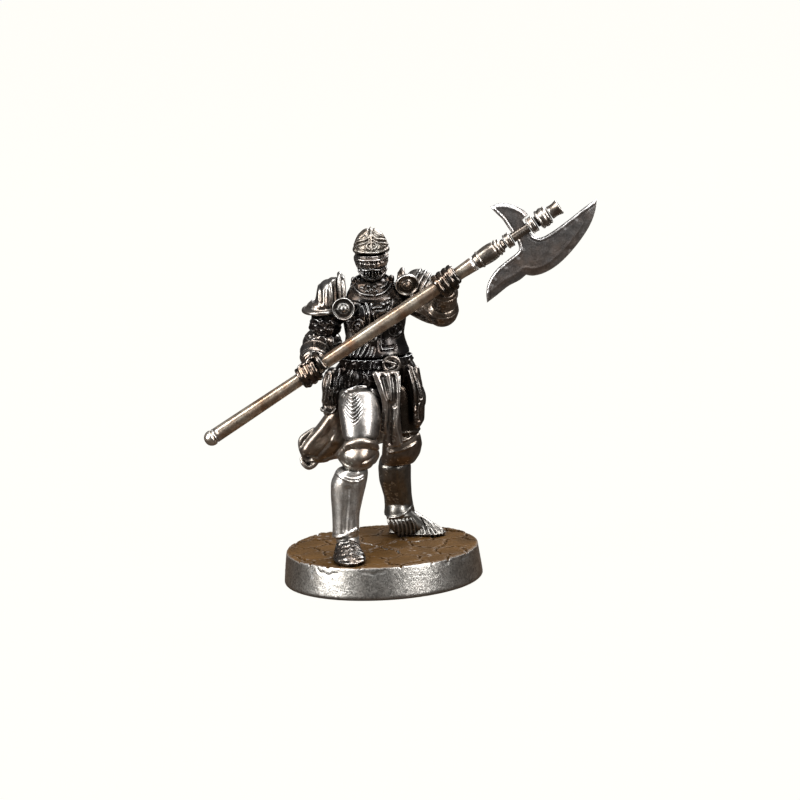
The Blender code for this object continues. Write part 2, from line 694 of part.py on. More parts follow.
def build():
    """Make every casting and pin."""
    base = make_base()
    make_right_leg()
    make_left_leg()
    make_feet(base)
    fauld = make_hips()
    make_belt()
    make_buckle()
    make_hip_drapes()
    make_loincloth()
    make_coat_tail()
    breast, back = make_cuirass()
    gorget = make_gorget()
    skull = make_head()
    dome, guard, left_dome = make_shoulders()
    right_edge = mm(0, 0, RIGHT_DOME_FLOOR - SPLIT)
    left_edge = LEFT_DOME_START + LEFT_DOME_AXIS * (LEFT_DOME_REACH + SPLIT) * MM
    make_arm("right", mm(-5.5, 0.4, 34.4), mm(-6.5, 1.2, 30.2), on_haft(16.1), right_edge, UP)
    make_arm("left", mm(6.7, 0.4, 35.9), mm(9.0, -0.3, 33.9), on_haft(36.0), left_edge, -LEFT_DOME_AXIS)
    pin("waist_pin", mm(0.5, 0.0, 26.3), mm(0.5, 0.0, 30.6), (fauld, breast, back), 0.6 * MM)
    pin("neck_pin", mm(0.6, -0.4, 35.6), mm(0.6, -0.4, 40.4), (breast, back, gorget, skull))
    pin("right_shoulder_pin", mm(-1.4, 0.6, 36.0), mm(-5.4, 0.6, 36.0), (back, guard, dome))
    pin("left_shoulder_pin", mm(3.2, 0.6, 36.0), mm(6.2, 0.6, 36.0), (back, left_dome))
    make_haft()
    make_head_of_halberd()
    make_blades()


build()
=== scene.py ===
import json
import math

import bmesh
import bpy
import numpy as np
from mathutils import Matrix, Vector
from mathutils.bvhtree import BVHTree
from mathutils.geometry import delaunay_2d_cdt


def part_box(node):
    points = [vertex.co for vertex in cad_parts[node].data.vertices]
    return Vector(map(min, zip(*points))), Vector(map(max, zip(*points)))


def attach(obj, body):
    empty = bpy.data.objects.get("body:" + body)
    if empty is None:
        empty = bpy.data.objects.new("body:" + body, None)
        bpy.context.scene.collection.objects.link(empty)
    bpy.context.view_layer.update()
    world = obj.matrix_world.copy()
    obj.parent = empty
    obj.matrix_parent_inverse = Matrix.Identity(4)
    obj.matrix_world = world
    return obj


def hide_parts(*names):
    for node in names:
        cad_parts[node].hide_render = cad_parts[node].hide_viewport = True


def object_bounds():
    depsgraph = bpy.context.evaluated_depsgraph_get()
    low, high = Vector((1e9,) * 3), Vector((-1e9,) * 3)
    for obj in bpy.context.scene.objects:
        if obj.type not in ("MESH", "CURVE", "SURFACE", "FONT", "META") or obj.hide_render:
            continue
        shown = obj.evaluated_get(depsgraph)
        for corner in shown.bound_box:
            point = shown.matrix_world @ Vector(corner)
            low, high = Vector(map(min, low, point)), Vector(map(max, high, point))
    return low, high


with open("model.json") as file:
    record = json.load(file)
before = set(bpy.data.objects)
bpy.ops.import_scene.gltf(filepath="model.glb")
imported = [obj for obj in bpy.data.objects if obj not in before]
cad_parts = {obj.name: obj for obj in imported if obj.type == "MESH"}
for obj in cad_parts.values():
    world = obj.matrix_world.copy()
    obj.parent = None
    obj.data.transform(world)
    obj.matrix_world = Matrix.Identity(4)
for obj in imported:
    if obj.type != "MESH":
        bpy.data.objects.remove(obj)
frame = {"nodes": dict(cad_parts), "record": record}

CAD_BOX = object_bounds()

MM = 0.001
UP = Vector((0, 0, 1))
# Sizes of the cells that skins are made of
VOXEL = 0.08 * MM
THIN = 0.07 * MM
FINE = 0.06 * MM
# Points of a path that lie nearer than this are one
TOUCH = 0.01 * MM
# How far off a search for the skin starts, in mm: in front, all round, and close round a small piece
AHEAD = 20
AROUND = 15
NEARBY = 8
# From the viewer into the scene
INWARD = Vector((0, 1, 0))
BOX_LOW, BOX_HIGH = (Vector(value) for value in CAD_BOX)


def mm(x, y, z):
    """Give a point written in millimetres in metres."""
    return Vector((x, y, z)) * MM


def low(node):
    """Lower corner of a CAD node's box."""
    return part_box(node)[0]


def high(node):
    """Upper corner of a CAD node's box."""
    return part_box(node)[1]


def mid(node):
    """Centre of a CAD node's box."""
    return (low(node) + high(node)) / 2


# Mesh helpers


def add_object(name, data):
    """Put an object with the data given into the scene."""
    made = bpy.data.objects.new(name, data)
    bpy.context.scene.collection.objects.link(made)
    return made


def from_bmesh(name, shape):
    """Make a mesh of a bmesh, with its faces turned outwards."""
    mesh = bpy.data.meshes.new(name)
    bmesh.ops.recalc_face_normals(shape, faces=shape.faces)
    shape.to_mesh(mesh)
    shape.free()
    return mesh


def swap_mesh(piece, mesh):
    """Give a piece another mesh and drop the one it had."""
    old = piece.data
    piece.data = mesh
    bpy.data.meshes.remove(old)


def settle(piece):
    """Apply a piece's modifiers to its mesh."""
    graph = bpy.context.evaluated_depsgraph_get()
    mesh = bpy.data.meshes.new_from_object(piece.evaluated_get(graph))
    piece.modifiers.clear()
    swap_mesh(piece, mesh)


def remesh(piece, voxel, smooth):
    """Fuse everything in a piece into one skin of even faces, and relax it."""
    fuse = piece.modifiers.new("fuse", "REMESH")
    fuse.mode = "VOXEL"
    fuse.voxel_size = voxel
    fuse.use_smooth_shade = True
    if smooth:
        relax = piece.modifiers.new("relax", "SMOOTH")
        relax.factor = 0.5
        relax.iterations = smooth
    settle(piece)


def coordinates(piece):
    """Vertices of a piece as rows of x, y, z."""
    values = np.empty(len(piece.data.vertices) * 3)
    piece.data.vertices.foreach_get("co", values)
    return values.reshape(-1, 3)


def normals(piece):
    """Normals of a piece's vertices as rows of x, y, z."""
    values = np.empty(len(piece.data.vertices) * 3, dtype=np.float32)
    piece.data.vertex_normals.foreach_get("vector", values)
    return values.reshape(-1, 3).astype(float)


def push(piece, heights):
    """Move each vertex along its normal."""
    moved = coordinates(piece) + normals(piece) * np.asarray(heights)[:, None]
    piece.data.vertices.foreach_set("co", moved.ravel())
    piece.data.update()


def bump(distance, width):
    """Round profile: 1 on the line, 0 from width on."""
    share = np.clip(distance / width, 0, 1)
    return (1 - share * share) ** 2


def step(distance, width):
    """Smooth step from 0 to 1 across a width centred on 0."""
    share = np.clip(distance / width + 0.5, 0, 1)
    return share * share * (3 - 2 * share)


def to_path(points, path):
    """Distance from each point to the nearest stretch of a path."""
    path = np.asarray(path, float)
    nearest = np.full(len(points), 1e9)
    for start, end in zip(path, path[1:]):
        run = end - start
        share = np.clip((points - start) @ run / max(run @ run, 1e-18), 0, 1)
        gap = np.linalg.norm(points - start - share[:, None] * run, axis=1)
        nearest = np.minimum(nearest, gap)
    return nearest


def curve_through(points, steps=6, closed=False):
    """Smooth curve through points of any dimension."""
    points = [np.asarray(point, float) for point in points]
    count = len(points)
    path = []
    for index in range(count if closed else count - 1):
        if closed:
            four = [points[(index + shift) % count] for shift in (-1, 0, 1, 2)]
        else:
            four = [points[min(max(index + shift, 0), count - 1)] for shift in (-1, 0, 1, 2)]
        before, start, end, after = four
        for number in range(steps):
            t = number / steps
            path.append(
                start
                + 0.5 * t * (end - before)
                + t * t * (before - 2.5 * start + 2 * end - 0.5 * after)
                + 0.5 * t ** 3 * (3 * start - before - 3 * end + after)
            )
    if not closed:
        path.append(points[-1])
    return path


def surface(piece):
    """Search tree of a piece's surface."""
    return BVHTree.FromObject(piece, bpy.context.evaluated_depsgraph_get())


def wrap(tree, axis_point, heights, start=0, end=360, count=48, axis=UP, zero=None):
    """Trace round a surface: heights gives the offset along the axis for each angle in degrees.

    Angle 0 faces the front (-Y) or the zero direction given, and angles grow towards +X.
    """
    ahead = zero or Vector((0, -1, 0))
    ahead = (ahead - axis * ahead.dot(axis)).normalized()
    aside = axis.cross(ahead)
    path = []
    for number in range(count + 1):
        degrees = start + (end - start) * number / count
        angle = math.radians(degrees)
        height = heights(degrees) if callable(heights) else heights
        out = ahead * math.cos(angle) + aside * math.sin(angle)
        inner = axis_point + axis * height * MM
        hit = tree.ray_cast(inner + out * AROUND * MM, -out)[0]
        if hit:
            path.append(hit)
    return path


def tube(shape, path, radius, sides=8):
    """Add a round wire along a path to a bmesh. A closed path ends where it starts.

    The radius is a number, or one number for each point of the path.
    """
    path = [Vector(point) for point in path]
    radii = list(radius) if isinstance(radius, (list, tuple)) else [radius] * len(path)
    tight = path[:1]
    widths = radii[:1]
    for point, width in zip(path[1:], radii[1:]):
        if (point - tight[-1]).length > TOUCH:
            tight.append(point)
            widths.append(width)
    path = tight
    if len(path) < 3:
        return
    closed = (path[0] - path[-1]).length < 2 * TOUCH
    if closed:
        path = path[:-1]
    count = len(path)
    side = None
    rings = []
    for index, point in enumerate(path):
        if closed:
            run = path[(index + 1) % count] - path[index - 1]
        else:
            run = path[min(index + 1, count - 1)] - path[max(index - 1, 0)]
        run.normalize()
        if side is None:
            side = run.orthogonal()
        side = (side - run * side.dot(run)).normalized()
        other = run.cross(side)
        ring = []
        for number in range(sides):
            angle = 2 * math.pi * number / sides
            out = side * math.cos(angle) + other * math.sin(angle)
            ring.append(shape.verts.new(point + out * widths[index]))
        rings.append(ring)
    pairs = list(zip(rings, rings[1:]))
    if closed:
        pairs.append((rings[-1], rings[0]))
    for index, (first, second) in enumerate(pairs):
        shift = 0
        if closed and index == len(pairs) - 1:
            shift = min(range(sides), key=lambda k: (first[0].co - second[k].co).length)
        for number in range(sides):
            after = (number + 1) % sides
            far, near = second[(after + shift) % sides], second[(number + shift) % sides]
            shape.faces.new((first[number], first[after], far, near))
    if not closed:
        shape.faces.new(rings[0])
        shape.faces.new(rings[-1])


def bridge(shape, rings, capped=True):
    """Join rings of vertices with faces. A ring may repeat one vertex, as the tip of a dome does."""
    for first, second in zip(rings, rings[1:]):
        for number in range(len(first)):
            after = (number + 1) % len(first)
            corners = []
            for vertex in (first[number], first[after], second[after], second[number]):
                if vertex not in corners:
                    corners.append(vertex)
            shape.faces.new(corners)
    if capped:
        shape.faces.new(rings[0])
        shape.faces.new(rings[-1])


def horn(shape, knots):
    """Add a round-ended tapering limb through (x, y, z, radius) knots in mm."""
    path = curve_through(knots)
    points = [mm(*knot[:3]) for knot in path]
    radii = [knot[3] * MM for knot in path]
    tube(shape, points, radii, 24)
    ball(shape, points[0], radii[0] * 0.99)
    ball(shape, points[-1], radii[-1] * 0.99)


def ball(shape, centre, radius, scale=(1, 1, 1)):
    """Add a ball, or an egg, to a bmesh."""
    made = bmesh.ops.create_icosphere(shape, subdivisions=3, radius=radius)
    place = Matrix.Translation(centre) @ Matrix.Diagonal((*scale, 1))
    bmesh.ops.transform(shape, matrix=place, verts=made["verts"])


class Casting:
    """One cast piece that is sculpted from a CAD node's shape.

    Stretch scales the copy about a point of the node's box, given as shares of the box.
    Puff swells it, in mm, after its facets are smoothed away.
    """

    def __init__(
        self, node, stretch=None, about=(0.5, 0.5, 0.5), puff=0.1, voxel=VOXEL, coarse=0.24, smooth=5
    ):
        self.node = node
        self.voxel = voxel
        shape = bmesh.new()
        shape.from_mesh(frame["nodes"][node].data)
        if stretch:
            lower, upper = low(node), high(node)
            pivot = Vector([a + (b - a) * share for a, b, share in zip(lower, upper, about)])
            scale = Matrix.Translation(pivot) @ Matrix.Diagonal((*stretch, 1)) @ Matrix.Translation(-pivot)
            bmesh.ops.transform(shape, matrix=scale, verts=shape.verts)
        self.piece = add_object(node, from_bmesh(node, shape))
        remesh(self.piece, coarse * MM, smooth)
        push(self.piece, np.full(len(self.piece.data.vertices), puff * MM))
        remesh(self.piece, voxel, 3)
        self.extra = bmesh.new()
        self.tree = surface(self.piece)
        self.anchor = mid(node)
        self.lines = []

    def wire(self, path, radius):
        """Lay a raised wire along a path on the skin, with a groove beside it."""
        if len(path) > 2:
            tube(self.extra, path, radius * MM)
            self.lines.append((np.array([tuple(point) for point in path]), radius * MM))

    def front(self, points, closed=False, facing=INWARD):
        """Curve on the skin through (x, z) offsets in mm from the anchor, as seen from the front."""
        path = []
        for x, z in curve_through(points, 5, closed):
            start = self.anchor + mm(x, 0, z) - facing * AHEAD * MM
            hit = self.tree.ray_cast(start, facing)[0]
            if hit:
                path.append(hit)
        if closed:
            path.append(path[0])
        return path

    def line(self, points, radius, closed=False, facing=INWARD):
        """Lay a wire on the curve that front gives."""
        self.wire(self.front(points, closed, facing), radius)

    def hoop(self, height, radius, start=0, end=360):
        """Lay a wire round the skin, at a height in mm from the anchor."""
        self.wire(wrap(self.tree, self.anchor, height, start, end), radius)

    def rib(self, points, radius):
        """Add a wire as line does, with no groove beside it."""
        tube(self.extra, self.front(points), radius * MM)

    def band(self, height, radius, count=48, axis=UP, zero=None):
        """Add a wire all round the skin, with no groove beside it."""
        tube(self.extra, wrap(self.tree, self.anchor, height, 0, 360, count, axis, zero), radius * MM)

    def limb(self, *knots):
        """Add a limb through (x, y, z, radius) knots in mm from the anchor."""
        x, y, z = self.anchor / MM
        horn(self.extra, [(x + a, y + b, z + c, radius) for a, b, c, radius in knots])

    def local(self):
        """Points of the skin in mm from the anchor."""
        return (self.points() - np.array(self.anchor)) / MM

    def sink_grooves(self):
        """Press a groove, one wire radius deep, along both sides of each wire."""
        points = self.points()
        heights = np.zeros(len(points))
        for path, radius in self.lines:
            middle, half_width = 1.9 * radius, 1.2 * radius
            reach = 3.2 * radius
            near = np.all((points > path.min(0) - reach) & (points < path.max(0) + reach), axis=1)
            gap = to_path(points[near], path)
            groove = -radius * bump(np.abs(gap - middle), half_width)
            heights[near] = np.minimum(heights[near], groove)
        self.lines = []
        push(self.piece, heights)

    def melt(self, smooth):
        """Make one skin of the piece and the shapes added."""
        self.extra.from_mesh(self.piece.data)
        swap_mesh(self.piece, from_bmesh(self.node, self.extra))
        remesh(self.piece, self.voxel, smooth)

    def fuse(self):
        """Melt the shapes added so far into the skin, to build further on it."""
        self.sink_grooves()
        self.melt(3)
        self.extra = bmesh.new()
        self.tree = surface(self.piece)

    def relax(self, voxel, smooth):
        """Smooth the skin."""
        remesh(self.piece, voxel, smooth)
        self.tree = surface(self.piece)

    def push(self, heights):
        """Move each point of the skin outwards by its height in metres."""
        push(self.piece, heights)
        self.tree = surface(self.piece)

    def points(self):
        """Points of the skin in metres."""
        return coordinates(self.piece)

    def finish(self, material, slot):
        self.sink_grooves()
        if len(self.extra.verts):
            self.melt(1)
        else:
            self.extra.free()
        declare(self.piece, material, self.node)


def declare(piece, material, node):
    """Give a piece its metal and tie it to the frame."""
    piece.data.materials.clear()
    piece.data.materials.append(material)
    piece.data.shade_smooth()
    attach(piece, "root")
    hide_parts(node)


# Metals


def add_node(tree, kind, **inputs):
    """Add a shader node. Each input is a value or another node's output; _ stands for a space."""
    node = tree.nodes.new("ShaderNode" + kind)
    for name, value in inputs.items():
        socket = node.inputs[name.replace("_", " ")]
        if isinstance(value, bpy.types.NodeSocket):
            tree.links.new(value, socket)
        else:
            socket.default_value = value
    return node


def metal(name, bright, dark, warm=(0.5, 0.3, 0.18), warmth=0.3, rough=0.3, grain=0.25, top=None):
    """Antiqued cast metal: black in the recesses from a dark wash, worn bright on the edges, a warm tint in
    patches.
    An ambient occlusion node also darkens creases and places close to other parts, which is painted shade.

    Top, if given, is the colour of a dull earth wash on faces that look up.
    """
    material = bpy.data.materials.new(name)
    material.use_nodes = True
    tree = material.node_tree
    shader = tree.nodes["Principled BSDF"]
    shader.inputs["Metallic"].default_value = 1
    place = add_node(tree, "TexCoord").outputs["Object"]
    geometry = add_node(tree, "NewGeometry")

    def noise(scale, detail, fade=0.6):
        """Noise whose finer octaves fade by a share each."""
        node = add_node(tree, "TexNoise", Scale=scale, Detail=detail, Roughness=fade, Vector=place)
        return node.outputs["Fac"]

    def remap(value, low_in, high_in, low_out=0, high_out=1):
        """Map a value from one range to another, and clamp it."""
        node = add_node(tree, "MapRange", Value=value, From_Min=low_in, From_Max=high_in)
        node.inputs["To Min"].default_value = low_out
        node.inputs["To Max"].default_value = high_out
        return node.outputs["Result"]

    def maths(operation, first, second):
        """Combine two values, clamped to 0 and 1."""
        node = add_node(tree, "Math")
        node.operation = operation
        node.use_clamp = True
        for socket, value in zip(node.inputs, (first, second)):
            if isinstance(value, float):
                socket.default_value = value
            else:
                tree.links.new(value, socket)
        return node.outputs["Value"]

    def mix(factor, first, second):
        """Blend two colours."""
        node = add_node(tree, "Mix")
        node.data_type = "RGBA"
        tree.links.new(factor, node.inputs[0])
        for socket, value in ((node.inputs[6], first), (node.inputs[7], second)):
            if isinstance(value, tuple):
                socket.default_value = (*value, 1)
            else:
                tree.links.new(value, socket)
        return node.outputs[2]

    def dimmed(colour, share):
        return tuple(channel * share for channel in colour)

    pointiness = geometry.outputs["Pointiness"]
    fine = noise(5200, 5, 0.7)
    edges = remap(pointiness, 0.515, 0.575)
    hollow = remap(pointiness, 0.42, 0.49)
    # Ambient occlusion within 0.9 mm, other parts included: it paints shade into creases and between parts
    shade = add_node(tree, "AmbientOcclusion", Distance=0.9 * MM)
    shade.samples = 12
    # High where the surface is in no hollow, where the dark wash lies, and in no painted shade from the
    # ambient occlusion
    unwashed_and_unshaded = maths("MULTIPLY", remap(shade.outputs["AO"], 0.3, 0.9), hollow)
    rubbed_and_unshaded = maths("MULTIPLY", unwashed_and_unshaded, remap(fine, 0.25, 0.6, 0.7, 1))
    tinted = mix(remap(noise(420, 4), 0.42, 0.68, 0, warmth), bright, warm)
    stains = remap(noise(900, 5, 0.75), 0.42, 0.56, 0.35, 0)
    # The dark colour goes into the hollows as a wash and into the painted shade
    washed_and_shaded = mix(rubbed_and_unshaded, dark, mix(stains, tinted, dark))
    polished = tuple(min(0.8, channel * 1.1 + 0.35) for channel in bright)
    colour = mix(maths("MULTIPLY", edges, 0.8), washed_and_shaded, polished)
    roughness = remap(fine, 0.2, 0.8, rough * 0.8, rough * 1.35)
    if top:
        facing = add_node(tree, "SeparateXYZ", Vector=geometry.outputs["Normal"])
        level = remap(facing.outputs["Z"], 0.34, 0.6)
        earth = mix(remap(noise(160, 3), 0.4, 0.62), top, dimmed(top, 0.62))
        scuffed = mix(maths("MULTIPLY", edges, 0.12), earth, polished)
        pitted = mix(remap(noise(3600, 2, 0.8), 0.36, 0.5), dimmed(bright, 0.45), colour)
        # Cracks are darkened by the dark wash in hollows and by painted shade from the ambient occlusion
        cracked_and_shaded = mix(maths("MULTIPLY", unwashed_and_unshaded, hollow), dimmed(top, 0.3), scuffed)
        colour = mix(level, pitted, cracked_and_shaded)
        tree.links.new(remap(level, 0, 1, 1, 0.15), shader.inputs["Metallic"])
        shader.inputs["Specular IOR Level"].default_value = 0.06
        shader.inputs["Specular Tint"].default_value = (1, 0.75, 0.5, 1)
        roughness = maths("ADD", roughness, remap(level, 0, 1, 0, 0.3))
    tree.links.new(colour, shader.inputs["Base Color"])
    tree.links.new(roughness, shader.inputs["Roughness"])
    relief = add_node(tree, "Bump", Strength=grain, Distance=(0.06 if top else 0.02) * MM, Height=fine)
    tree.links.new(relief.outputs["Normal"], shader.inputs["Normal"])
    return material


ARMOUR = metal("armour_pewter", (0.3, 0.285, 0.265), (0.018, 0.017, 0.016), rough=0.28)
HELMET = metal("helmet_pewter", (0.25, 0.235, 0.205), (0.012, 0.011, 0.009), rough=0.36)
# Painted light: a much lighter copy of the leg metal for the forward greave, standing in for the light it
# catches
LIT_LEG_PLATE = metal("lit_leg_plate_pewter", (0.7, 0.675, 0.64), (0.03, 0.028, 0.026), warmth=0.2, rough=0.34)
CUISSE = metal("thigh_plate_pewter", (0.47, 0.45, 0.43), (0.03, 0.028, 0.026), warmth=0.15, rough=0.3)
KNEE = metal("knee_pewter", (0.46, 0.41, 0.36), (0.03, 0.024, 0.02), warmth=0.4, rough=0.35)
DISC = metal("disc_pewter", (0.2, 0.19, 0.175), (0.014, 0.013, 0.012), rough=0.3)
ARM = metal("arm_pewter", (0.19, 0.18, 0.17), (0.012, 0.011, 0.011), rough=0.24)
HAND = metal("gauntlet_pewter", (0.09, 0.082, 0.074), (0.008, 0.007, 0.006), warmth=0.4, rough=0.22)
# Painted shade: a darker copy of the leg metal for the greave and foot of the set-back leg, which stand in
# shade
DUSK = metal("shaded_pewter", (0.25, 0.24, 0.22), (0.016, 0.015, 0.014), warmth=0.1, rough=0.32)
DARK = metal("blackened_pewter", (0.062, 0.061, 0.06), (0.006, 0.006, 0.006), warmth=0.1, rough=0.22)
BLACK = metal("black_pewter", (0.028, 0.027, 0.026), (0.004, 0.004, 0.004), warmth=0.1, rough=0.26)
WARM = metal("browned_pewter", (0.3, 0.25, 0.205), (0.012, 0.01, 0.008), (0.26, 0.18, 0.135), 0.5, 0.3)
# Painted shade: a darker, browner copy of the thigh metal for the set-back thigh, which stands in shade
THIGH_IN_SHADE = metal("shaded_thigh", (0.1, 0.085, 0.07), (0.01, 0.008, 0.007), (0.16, 0.1, 0.07), 0.5, 0.26)
CLOTH = metal("cast_cloth", (0.17, 0.155, 0.14), (0.01, 0.009, 0.009), warmth=0.3, rough=0.27)
FOLD = metal("bright_cloth", (0.42, 0.395, 0.37), (0.014, 0.013, 0.012), warmth=0.3, rough=0.32)
TAIL = metal("cast_coat", (0.42, 0.37, 0.32), (0.016, 0.014, 0.012), warmth=0.3, rough=0.34)
HAFT = metal("haft_bronze", (0.86, 0.75, 0.61), (0.05, 0.038, 0.028), (0.5, 0.27, 0.15), 0.9, 0.3)
SOCKET = metal("socket_pewter", (0.3, 0.27, 0.235), (0.018, 0.016, 0.014), warmth=0.3, rough=0.3)
BLADE = metal("blade_pewter", (0.33, 0.32, 0.315), (0.03, 0.03, 0.03), warmth=0.3, rough=0.34)
EARTH = (0.082, 0.041, 0.012)
BASE = metal("base_pewter", (0.7, 0.68, 0.64), (0.1, 0.09, 0.08), warmth=0.1, rough=0.3, grain=0.4, top=EARTH)
PIN = metal("pin_steel", (0.5, 0.5, 0.5), (0.1, 0.1, 0.1), warmth=0, rough=0.3)

FINISH = {
    "base_metal": BASE,
    "armour_metal": ARMOUR,
    "blackened_metal": DARK,
    "cast_cloth": CLOTH,
    "haft_metal": HAFT,
    "socket_metal": SOCKET,
    "blade_metal": BLADE,
    "pin_steel": PIN,
}

SLOTS = {item["node"]: item["material_slot"] for item in frame["record"]["subparts"]}
for node, cad in frame["nodes"].items():
    cad.data.materials.clear()
    cad.data.materials.append(FINISH[SLOTS[node]])


# Head


def make_helmet():
    """Skull with its crown ridge, bands, brow and nape."""
    skull = Casting("helmet_skull", (0.99, 1, 1), (0.3, 0.5, 0.5), 0.08, FINE)
    skull.anchor = mid("helmet_skull") + mm(0.08, 0, 0)
    points = skull.local()
    front = points[:, 1] < 0.6
    slit = bump(np.abs(points[:, 2] - 0.02 - 0.03 * points[:, 0] ** 2), 0.36) * front
    skull.push(-0.4 * MM * slit)
    brow = [(-1.9, 0.62), (-1.5, 0.54), (-1, 0.47), (0, 0.38), (1, 0.43), (1.6, 0.5), (2, 0.62)]
    skull.line(brow, 0.13)
    for side in (-1, 1):
        for shape, radius in (
            (((0, 2.6), (0.5, 2.12), (1.1, 1.92), (1.7, 1.72), (2.15, 1.3)), 0.13),
            (((0.1, 2.05), (0.6, 1.68), (1.2, 1.5), (1.8, 1.25), (2.15, 0.95)), 0.1),
            (((0.5, 2.75), (0.85, 2.5), (1.25, 2.25)), 0.09),
            (((0.06, 1.66), (0.45, 1.5), (0.62, 1.2), (0.42, 0.9), (0.16, 0.84)), 0.1),
        ):
            skull.line([(side * x + 0.02, z) for x, z in shape], radius)
    skull.line([(0, 1.9), (0, 1.4), (0, 0.9), (0, 0.6)], 0.1)
    ridge = []
    for number in range(19):
        angle = math.radians(45 + 9 * number)
        out = Vector((0, -math.cos(angle), math.sin(angle)))
        hit = skull.tree.ray_cast(skull.anchor + out * NEARBY * MM, -out)[0]
        if hit:
            ridge.append(hit)
    skull.wire(ridge, 0.14)
    skull.hoop(-2.85, 0.14, 60, 300)
    for height in (-1.4, -0.2):
        skull.hoop(height, 0.09, 110, 250)
    skull.finish(HELMET, "armour_metal")


def make_visor():
    """Face plate under the eye slit."""
    visor = Casting("visor", (1.06, 1.03, 1), (0.2, 0.5, 0.5), 0.16, FINE, 0.18, 3)
    visor.anchor = mid("visor") + mm(0.12, 0, 0)
    edge = [(-2.1, 0.42), (-1.5, 0.36), (-0.8, 0.28), (0.1, 0.25), (0.9, 0.3), (1.5, 0.4), (2.1, 0.52)]
    visor.line(edge, 0.15)
    points = visor.local()
    creases = bump(np.abs(np.abs(points[:, 0]) - 0.5), 0.16) + bump(np.abs(np.abs(points[:, 0]) - 1.2), 0.2)
    visor.push(-0.12 * MM * creases * (points[:, 2] < 0.1) * (points[:, 1] < 0.5))
    visor.finish(ARM, "armour_metal")


def make_bevor():
    """Chin plate with breathing slots, edged by a V."""
    bevor = Casting("bevor", (1.14, 1, 1), (0.1, 0.5, 0.5), 0.14, 0.05 * MM, 0.18, 3)
    bevor.anchor = mid("bevor") + mm(0.12, 0, 0)
    points = bevor.local()
    cuts = np.zeros(len(points))
    for x in (-1, -0.6, -0.25, 0.25, 0.6, 1):
        low_end = -0.5 + 0.4 * abs(x)
        inside = (points[:, 2] < 0.42) & (points[:, 2] > low_end) & (points[:, 1] < 0.6)
        cuts += bump(np.abs(points[:, 0] - x), 0.15) * inside
    bevor.push(-0.34 * MM * np.clip(cuts, 0, 1))
    edge = [(-1.8, 0.85), (-1.2, 0.62), (-0.6, 0.56), (0, 0.68), (0.6, 0.56), (1.2, 0.62), (1.8, 0.85)]
    bevor.line(edge, 0.12)
    chin = [(-1.78, 0.6), (-1.5, 0.1), (-1, -0.32), (-0.45, -0.62), (0, -0.76)]
    bevor.line(chin + [(-x, z) for x, z in reversed(chin[:-1])], 0.15)
    bevor.rib([(0, 0.65), (0, 0), (0, -0.65)], 0.1)
    bevor.finish(DARK, "armour_metal")


def make_gorget():
    """Neck collar that flares onto the chest, with a rolled rim low in front."""
    gorget = Casting("gorget", puff=0)
    x, y, z = gorget.anchor / MM
    sections = (
        (-0.1, -0.4, -1.5, 3.3, 2.4), (-0.1, -0.4, -1.2, 3.2, 2.4), (-0.1, -0.3, -0.8, 2.95, 2.3),
        (-0.1, -0.1, -0.2, 2.6, 2.1), (-0.12, 0.1, 0.3, 2.4, 1.95), (-0.12, 0.1, 0.5, 2.2, 1.8),
        (-0.12, 0.1, 0.3, 2.05, 1.6), (-0.12, 0.1, 0, 2, 1.5),
    )
    rings = []
    for a, b, c, wide, deep in curve_through(sections, 4):
        rings.append((mm(x + a, y + b, z + c), mm(wide, 0, 0), mm(0, deep, 0.3 * deep)))
    gorget.extra.free()
    gorget.extra = lofted(rings)
    for side in (-1, 1):
        for out, rise, size in ((2.35, 0.55, 0.36), (1.75, 0.35, 0.3)):
            gorget.limb((side * out, -0.2, rise - 1.2, size), (side * out, -0.3, rise, size))
    gorget.fuse()
    gorget.line([(-2.5, 0), (-2.15, -0.55), (-1.6, -0.95), (-0.8, -1.2), (0, -1.28)], 0.14)
    gorget.line([(0.3, -1.27), (1.1, -1.1), (1.8, -0.7), (2.3, -0.15)], 0.15)
    gorget.line([(0.9, -0.5), (1.5, -0.25), (1.9, 0.15)], 0.1)
    for x, z in ((-1.4, -0.35), (-0.8, -0.75), (-0.2, -0.6), (0.4, -0.8), (0.2, -0.3), (-0.6, -0.25)):
        gorget.line([(x - 0.15, z - 0.05), (x, z + 0.1), (x + 0.15, z - 0.1)], 0.1)
    gorget.hoop(lambda angle: -0.2 - 0.85 * math.cos(math.radians(angle)), 0.13, 80, 280)
    gorget.finish(BLACK, "blackened_metal")


# Torso


